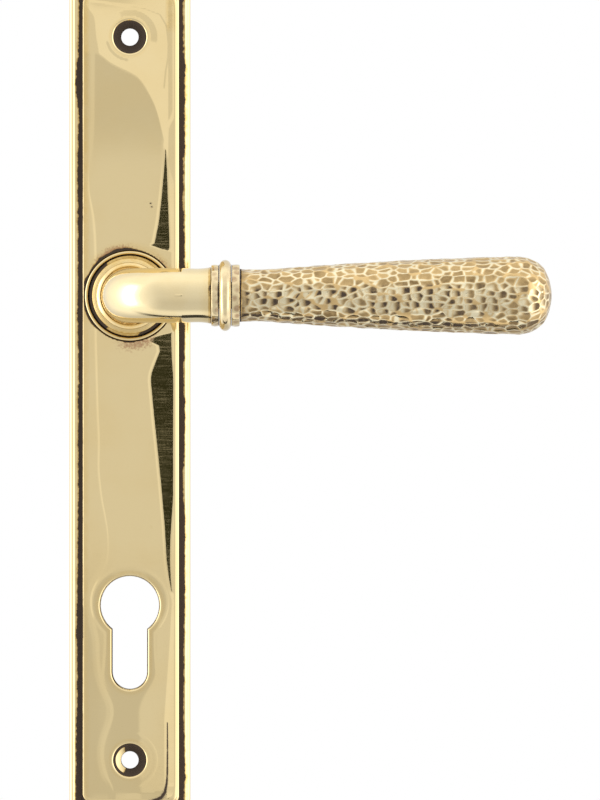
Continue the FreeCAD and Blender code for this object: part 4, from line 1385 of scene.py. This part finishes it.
def make_neck():
    rows = path_rows()
    number = np.arange(len(rows))
    patina = np.zeros(rows.shape[:2]) + along(number, FOOT_PATINA)[:, None]
    radius = np.hypot(rows[:, :, 0], rows[:, :, 2])
    on_foot = rows[:, :, 1] > FOOT_TOP_Y
    leftward = rows[:, :, 0] / np.maximum(radius, 0.1)
    # Painted shadow: patina is laid on the foot's outer edge at its left and lower right, where shade falls
    shadowed = soft_step(-0.35, -0.8, leftward) + soft_step(0.85, 1.5, leftward - rows[:, :, 2] / 12)
    patina = np.maximum(patina, on_foot * (radius > 11.2) * np.minimum(shadowed, 1.0))
    for at in DARK_GROOVES:
        patina = np.maximum(patina, on_foot * 0.62 * ridge(radius - at, 0.08))
    patina[-7:-4] = 0.4
    patina[-4:] = 1.0
    gold = np.zeros(rows.shape[:2]) + along(number, FOOT_GOLD)[:, None]
    gold[-COLLAR_GOLD_ROWS:] = np.linspace(0.0, COLLAR_GOLD, COLLAR_GOLD_ROWS)[:, None]
    neck = Form()
    neck.add_rows(rows, recess=patina, hollow=gold)
    add_kept(neck, "lever_neck", inside_neck, recess=0.3)
    neck.piece("neck_sweep", NECK_BRASS, "lever", ["lever_neck"], bends=arm_bends)


# Collar

COLLAR_CUTS = 168
COLLAR_GAP = 0.06
# Where each ring starts and ends along the lever, and its radius
INNER_RING = (NECK_END_X, 26.65, 9.2)
BEAD = (26.65, 30.3, 10.5)
OUTER_RING = (30.3, GRIP_START_X, 9.25)
# The small rings' hammer marks: how deep and how far apart
RING_MARK_DEPTH = 0.26
RING_MARK_SPACING = 2.6


def fall_on_ring(chance, low, high, radius):
    """Hammer marks in rows round a collar ring, as (x, turn, depth)."""
    spacing = RING_MARK_SPACING
    marks = []
    x = low + 0.4 * spacing
    line = 0
    while x < high:
        count = max(8, round(WHOLE_TURN * radius / (spacing * 1.15)))
        for k in range(count):
            marks.append((x + chance.uniform(-0.28, 0.28) * spacing,
                          (k + 0.5 * (line % 2) + chance.uniform(-0.3, 0.3)) * WHOLE_TURN / count,
                          chance.uniform(0.55, 1.0) * RING_MARK_DEPTH))
        x += 0.9 * spacing
        line += 1
    return marks


def dented(rows, seed):
    """Presses shallow round hammer marks into rows round the lever's axis; gives rows and hollows."""
    flat = rows.reshape(-1, 3)
    out = flat - np.array([0, LEVER_AXIS_Y, 0])
    radius = np.hypot(out[:, 1], out[:, 2])
    turn = np.arctan2(out[:, 2], out[:, 1])
    widest = radius.max()
    depth = np.zeros(len(flat))
    for x, angle, deep in fall_on_ring(random.Random(seed), flat[:, 0].min(), flat[:, 0].max(), widest):
        around = (turn - angle + math.pi) % WHOLE_TURN - math.pi
        away = (flat[:, 0] - x) ** 2 + (around * widest) ** 2
        depth = np.maximum(depth, deep - away * deep / (0.62 * RING_MARK_SPACING) ** 2)
    scale = 1 - depth / np.maximum(radius, 0.1)
    flat = flat.copy()
    flat[:, 1] = LEVER_AXIS_Y + out[:, 1] * scale
    flat[:, 2] = out[:, 2] * scale
    return flat.reshape(rows.shape), (depth / RING_MARK_DEPTH).reshape(rows.shape[:2])


def collar_profile(low, high, outer, rise, bend):
    """Half section of a collar ring: two flat sides, two eased edges and a crowned outside."""
    low += COLLAR_GAP
    high -= COLLAR_GAP
    middle = (low + high) / 2
    edge = outer - rise
    part = 0.3 * bend
    return joined(
        straight((low, STUD_BORE_R), (low, edge - bend), 2),
        arc((low, edge - bend), (low + part, edge - part), (low + bend, edge), 4),
        arc((low + bend, edge), (middle, outer), (high - bend, edge), 18),
        arc((high - bend, edge), (high - part, edge - part), (high, edge - bend), 4),
        straight((high, edge - bend), (high, STUD_BORE_R), 2),
    )


def make_collar_piece(name, stands_for, limits, crown, seed, rubbed):
    """One ring of the collar: crown is its middle's rise and its edges' bend, rubbed its bright side.

    A seed of 0 leaves it smooth.
    """
    low, high, outer = limits
    rise, bend = crown
    profile = collar_profile(low, high, outer, rise, bend)
    rows = turned_on_lever(profile, COLLAR_CUTS)
    marks = []
    for x, radius in profile:
        side = 1 if x > (low + high) / 2 else -1
        clean_from = outer - rise - (0.8 if side == rubbed else 0.15) * bend
        marks.append(1.0 if radius < clean_from else 0.0)
    hollow = np.zeros(rows.shape[:2])
    shade = np.zeros(rows.shape[:2])
    if seed:
        outside = slice(5, len(profile) - 5)
        rows[outside], pressed = dented(rows[outside], seed)
        hollow[outside] = soft_step(0.2, 0.75, pressed)
        blotch = soft_step(5.0, 1.0, np.abs(rows[:, :, 2])) * soft_step(0.75, 0.25, high - rows[:, :, 0])
        shade = blotch * (rows[:, :, 1] < LEVER_AXIS_Y) * (limits == INNER_RING)
    form = Form()
    form.add_rows(rows, loop=True, recess=marks, hollow=hollow, shade=shade)
    form.piece(name, COLLAR_BRASS, "lever", [stands_for])


def make_collar():
    make_collar_piece("collar_ring_inner_fine", "collar_inner_ring", INNER_RING, (0.12, 0.4), 5, -1)
    make_collar_piece("collar_bead_fine", "collar_bead", BEAD, (1.25, 0.15), 0, 0)
    make_collar_piece("collar_ring_outer_fine", "collar_outer_ring", OUTER_RING, (0.1, 0.35), 9, 1)


# Grip: its outside, as (x, radius)

GRIP_CUTS = 320
GRIP_START = (GRIP_START_X, 7.85)
GRIP_THROAT = (37.5, 7.72)
GRIP_SWELL_START = (44.0, 8.1)
GRIP_SWELL_MIDDLE = (82.0, 10.45)
GRIP_SHOULDER = (114.8, 11.65)
GRIP_NOSE = (119.9, 10.4)
GRIP_DOME_EDGE = (122.85, 8.0)
GRIP_FACE_R = 7.7
STUD_BORE_END_X = 50.0
STUD_BORE_TIP_X = 50.8


def make_grip_curve():
    """The grip's outside from the collar to just short of its tip."""
    edge_x, edge_r = GRIP_DOME_EDGE
    height = GRIP_TIP_X - edge_x
    dome_r = (height**2 + edge_r**2) / (2 * height)
    half_angle = math.asin(edge_r / dome_r) / 2
    dome_middle = (GRIP_TIP_X - dome_r * (1 - math.cos(half_angle)), dome_r * math.sin(half_angle))
    return joined(
        arc(GRIP_START, GRIP_THROAT, GRIP_SWELL_START, 40),
        arc(GRIP_SWELL_START, GRIP_SWELL_MIDDLE, GRIP_SHOULDER, 260),
        arc(GRIP_SHOULDER, GRIP_NOSE, GRIP_DOME_EDGE, 36),
        arc(GRIP_DOME_EDGE, dome_middle, (GRIP_TIP_X - 0.002, 0.12), 36),
    )


# Grip: its hammer marks

# Each mark is a shallow bowl: its depth, how much deeper the hardest blows are, and how flat it is
MARK_DEPTH = 0.13
MARK_HARDER = 0.24
MARK_CURVE = 7.5
# How far apart the rows and the marks in a row are, and how much longer than wide a mark is
MARK_STEP = 3.2
MARK_ROUND = 2.15
LONGER = 1.6
# How far the borders between marks sway and over what length
SWAY = 0.5
SWAY_LONG = 2.4
# The noise that sways them is shifted by a seed, which Blender would otherwise take from the clock
SWAY_SEED = 41
# How softly the borders' corners are rounded
CORNER_SOFT = 0.035
# How wide the bright ridges are, and the length over which their width changes
RIDGE_WIDE = 0.2
RIDGE_CHANGE = 2.3
# Where the marks begin beside the collar
MARKS_FADE_IN = (32.9, 33.6)


class HammerMark:
    """One blow: where it fell, how deep, how dull its bottom is and how much painted shade it holds."""

    def __init__(self, x, radius, turn, chance):
        self.x = x
        self.depth = MARK_DEPTH + chance.uniform(0.0, MARK_HARDER)
        self.dull = chance.uniform(0.5, 1.0)
        self.painted_shade = 1.0 if chance.random() < 0.8 else 0.4
        self.place = (x / LONGER, radius * math.cos(turn), radius * math.sin(turn))


def fall_of_marks(curve):
    """Hammer marks in rough rows from the collar to the tip."""
    chance = random.Random(41)
    xs, radii = np.array(curve).T
    travelled = np.concatenate([[0], np.cumsum(np.hypot(np.diff(xs), np.diff(radii)))])
    marks = []
    row = 0.9
    while row < travelled[-1]:
        count = max(1, round(WHOLE_TURN * float(np.interp(row, travelled, radii)) / MARK_ROUND))
        shift = chance.random()
        for k in range(count):
            there = min(max(row + chance.uniform(-1.1, 1.1), 0.6), travelled[-1])
            turn = (k + shift + chance.uniform(-0.28, 0.28)) * WHOLE_TURN / count
            x, radius = (float(np.interp(there, travelled, side)) for side in (xs, radii))
            marks.append(HammerMark(x, radius, turn, chance))
        row += MARK_STEP
    return marks


def marks_by_place(marks):
    tree = kdtree.KDTree(len(marks))
    for i, mark in enumerate(marks):
        tree.insert(mark.place, i)
    tree.balance()
    return tree


def finish_of_mark(x, y, z, mark, inside):
    """How dull a point in a mark is, how much painted highlight and painted shade it gets, by the way it
    faces and its place there.
    """
    ahead = x - mark.x
    facing = math.degrees(math.atan2(z, -y))
    front = soft_step(-38, -28, facing) * soft_step(22, 10, facing)
    # Painted reflection: marks that face about 50 degrees down are painted dark where they reflect the
    # studio's dark gap
    under = soft_step(-60, -56, facing) * soft_step(-45, -49, facing) * (1.4 - 0.8 * soft_step(100, 108, x))
    # Painted highlight: the left side of each mark that faces the front is painted pale
    lit = front * soft_step(0.4, -1.1, ahead)
    # Painted shade: the right side of each mark that faces the front is painted dark
    painted_right_shade = front * soft_step(-0.3, 0.8, ahead) * (1.15 - 0.55 * soft_step(92, 116, x))
    # Painted light: the dull bottoms are lightened under the painted highlight and on marks that face a
    # little upward
    dull = inside * mark.dull * (1 - 0.8 * lit) * (1 - 0.25 * soft_step(15, 35, facing))
    return dull, 0.9 * lit * inside, inside * mark.painted_shade * max(painted_right_shade, under)


def strike(rows, marks):
    """Presses the marks side by side into rows of points; gives the rows, their dull hollows, their bright
    ridges with painted highlights, and their painted shade.
    """
    tree = marks_by_place(marks)
    noise.seed_set(SWAY_SEED)
    flat = rows.reshape(-1, 3)
    out = flat.copy()
    hollow, ridges_and_highlights, shade = (np.zeros(len(flat)) for _ in range(3))
    for n, (x, y, z) in enumerate(flat):
        y -= LEVER_AXIS_Y
        sway = noise.noise_vector((x / SWAY_LONG, y / SWAY_LONG, z / SWAY_LONG)) * SWAY
        near = tree.find_n((x / LONGER + sway[0], y + sway[1], z + sway[2]), 6)
        values = [marks[i].depth - away * away / MARK_CURVE for _, i, away in near]
        best = max(values)
        nearest = marks[near[values.index(best)][1]]
        others = sum(math.exp((value - best) / CORNER_SOFT) for value in values) - 1
        border = -CORNER_SOFT * math.log(max(others, 1e-9)) * MARK_CURVE / 5.0
        fade = soft_step(*MARKS_FADE_IN, x)
        inward = 1 - (max(best, 0.0) * fade + 0.004) / max(math.hypot(y, z), 1)
        out[n] = (x, LEVER_AXIS_Y + y * inward, z * inward)
        inside = soft_step(0.12, 0.36, border) * soft_step(-0.02, 0.07, best) * fade
        change = noise.noise((x / RIDGE_CHANGE, y / RIDGE_CHANGE + 9, z / RIDGE_CHANGE))
        wide = RIDGE_WIDE * (1 + 0.75 * change)
        on_border = soft_step(wide, 0.4 * wide, border) * soft_step(-0.05, 0.02, best) * fade
        hollow[n], lit, shade[n] = finish_of_mark(x, y, z, nearest, inside)
        ridges_and_highlights[n] = max(on_border, lit)
    shape = rows.shape[:2]
    return out.reshape(rows.shape), hollow.reshape(shape), ridges_and_highlights.reshape(shape), shade.reshape(shape)


def grip_patina(x, radius):
    """Full patina on the grip's inner end and in its bore, thinning over the first of its outside."""
    if x < GRIP_START_X + 0.03 or (radius < 4.1 and x < 60):
        return 1.0
    return max(0.0, 1.0 - 1.2 * (x - GRIP_START_X - 0.05))


def make_grip():
    curve = make_grip_curve()
    bore = joined(
        straight((STUD_BORE_END_X, STUD_BORE_R), (GRIP_START_X, STUD_BORE_R), 4),
        straight((GRIP_START_X, STUD_BORE_R), (GRIP_START_X, GRIP_FACE_R), 3),
        [(GRIP_START_X, GRIP_FACE_R), (32.86, 7.83)],
    )
    profile = bore + curve[1:]
    rows = turned_on_lever(profile, GRIP_CUTS)
    first = len(bore)
    hollow, ridges_and_highlights, shade = (np.zeros(rows.shape[:2]) for _ in range(3))
    rows[first:], hollow[first:], ridges_and_highlights[first:], shade[first:] = strike(rows[first:], fall_of_marks(curve))
    by_collar = soft_step(36.5, 33.0, rows[:, :, 0])
    hollow = np.maximum(hollow, 0.7 * by_collar)
    ridges_and_highlights = ridges_and_highlights * (1 - 0.7 * by_collar)
    grip = Form()
    recess = [grip_patina(x, radius) for x, radius in profile]
    grip.add_rows(rows, recess=recess, hollow=hollow, ridge=ridges_and_highlights, shade=shade)
    for row, point, mark in ((rows[-1], GRIP_TIP_X, 0.0), (rows[0][::-1], STUD_BORE_TIP_X, 1.0)):
        corners = np.concatenate([row, [(point, LEVER_AXIS_Y, 0)]])
        faces = [(i, (i + 1) % GRIP_CUTS, GRIP_CUTS) for i in range(GRIP_CUTS)]
        grip.add(corners, faces, recess=mark)
    grip.piece("grip_hammered", GRIP_BRASS, "lever", ["lever_grip"], sharp=24.0)


make_plate()
make_ring()
make_neck()
make_collar()
make_grip()


# Floor

FLOOR_Z = PLATE_BOTTOM - 0.02
FLOOR_HALF = 650.0
FLOOR_BACK = 290.0


def make_floor():
    mesh = bpy.data.meshes.new("floor")
    front, back, side = -FLOOR_HALF, FLOOR_BACK, FLOOR_HALF
    corners = [(-side, front), (side, front), (side, back), (-side, back)]
    mesh.from_pydata([(x * MM, y * MM, FLOOR_Z * MM) for x, y in corners], [], [(0, 1, 2, 3)])
    made = bpy.data.objects.new("floor", mesh)
    bpy.context.scene.collection.objects.link(made)
    made.visible_glossy = False
    material, w, shader = new_material("pale paper floor")
    shade = w.step(w.grain(120.0, detail=2.0), 0.3, 0.7)
    w.feed(shader.inputs["Base Color"], w.blend(shade, (0.86, 0.86, 0.85, 1), (0.83, 0.83, 0.82, 1)))
    w.feed(shader.inputs["Roughness"], w.step(w.grain(3.0), 0.2, 0.8, 0.8, 0.9))
    mesh.materials.append(material)


make_floor()

# Light

# How bright the studio is round the level from the front (0), right 90 and left -90
LEVEL_LIGHT = (
    (-180, 1.0), (-137, 1.1), (-112, 1.3), (-98, 2.0), (-92, 2.8), (-85, 3.6), (-77, 3.4), (-70, 1.8),
    (-61, 1.15), (-48, 0.95), (-36, 0.84), (-24, 0.74), (-12, 0.72), (-4, 0.75), (4, 0.77), (12, 0.77),
    (24, 0.87), (38, 1.06), (56, 1.5), (70, 2.0), (83, 2.0), (87, 1.0), (94, 1.0), (98, 1.5), (130, 1.1),
    (180, 1.0),
)
# And from the front (0) up over the top and down underneath
UPRIGHT_LIGHT = (
    (-180, 0.8), (-134, 0.62), (-112, 0.66), (-108, 0.6), (-107, 0.04), (-98, 0.04), (-97, 0.85),
    (-86, 0.98), (-76, 0.95), (-62, 0.68), (-32, 0.66), (-16, 0.71), (-4, 0.77), (4, 0.77), (12, 0.80),
    (30, 0.87), (50, 1.0), (70, 1.14), (96, 1.14), (118, 0.97), (180, 0.8),
)
# A narrow dark gap in the studio beside the front
DARK_GAP = (0.032, 0.034, 0.018, 1)


def front_shift(w, sideways, z):
    """Straight in front the studio is paler above and dimmer below, which the face's tilts bring out."""
    front = w.sum("MULTIPLY", w.step(w.sum("ABSOLUTE", sideways), 0.10, 0.14, 1.0, 0.0),
                  w.step(w.sum("ABSOLUTE", z), 0.085, 0.125, 1.0, 0.0))
    pale_up = w.step(z, 0.016, 0.048, 0.0, 0.17)
    dim_down = w.step(z, -0.048, -0.016, -0.13, 0.0)
    return w.sum("MULTIPLY", front, w.sum("ADD", pale_up, dim_down))


def dark_gap(w, sideways, z):
    """Where the dark gap stands that the face's right side reflects."""
    dark = w.sum("MULTIPLY", w.step(sideways, 0.030, 0.036), w.step(sideways, 0.062, 0.068, 1.0, 0.0))
    dark = w.sum("MULTIPLY", dark, w.step(z, 0.02, 0.026, 1.0, 0.0))
    return w.sum("MULTIPLY", dark, w.step(z, -0.06, -0.054))


def make_world():
    world = bpy.data.worlds.new("soft studio")
    bpy.context.scene.world = world
    world.use_nodes = True
    w = Wiring(world.node_tree)
    background = world.node_tree.nodes["Background"]
    parts = w.node("ShaderNodeSeparateXYZ")
    w.feed(parts.inputs[0], w.node("ShaderNodeTexCoord").outputs["Generated"])
    x, y, z = parts.outputs
    toward = w.sum("MULTIPLY", y, -1.0)
    sideways = w.sum("ARCTAN2", x, toward)
    level = w.profile(sideways, LEVEL_LIGHT)
    lamps = w.sum("MAXIMUM", w.sum("SUBTRACT", level, 1.2), 0.0)
    level = w.sum("SUBTRACT", level, w.sum("MULTIPLY", lamps, w.step(w.sum("ABSOLUTE", z), 0.35, 0.68)))
    upright = w.profile(w.sum("ARCTAN2", z, toward), UPRIGHT_LIGHT)
    beside = w.step(w.sum("ABSOLUTE", x), 0.3, 0.75)
    lit = w.sum("MULTIPLY_ADD", w.sum("SUBTRACT", level, upright), beside, upright)
    lit = w.sum("ADD", lit, front_shift(w, sideways, z))
    lit = w.blend(dark_gap(w, sideways, z), w.combine(lit), DARK_GAP)
    camera = w.node("ShaderNodeLightPath").outputs["Is Camera Ray"]
    w.feed(background.inputs["Color"], w.blend(camera, lit, (1, 1, 1, 1)))
    background.inputs["Strength"].default_value = 1.0


make_world()

# Camera

CAMERA_X = 50.6
CAMERA_Z = -30.95
CAMERA_BACK = 8000.0
HALF_HIGH = 119.05
SENSOR_HALF = 18.0

view = bpy.data.cameras.new("front view")
view.sensor_width = 2 * SENSOR_HALF
view.lens = SENSOR_HALF / (HALF_HIGH / CAMERA_BACK)
view.clip_end = 100.0
eye = bpy.data.objects.new("front view", view)
bpy.context.scene.collection.objects.link(eye)
eye.location = (CAMERA_X * MM, -CAMERA_BACK * MM, CAMERA_Z * MM)
eye.rotation_euler = (QUARTER_TURN, 0, 0)
bpy.context.scene.camera = eye
bpy.context.scene.view_settings.view_transform = "Standard"
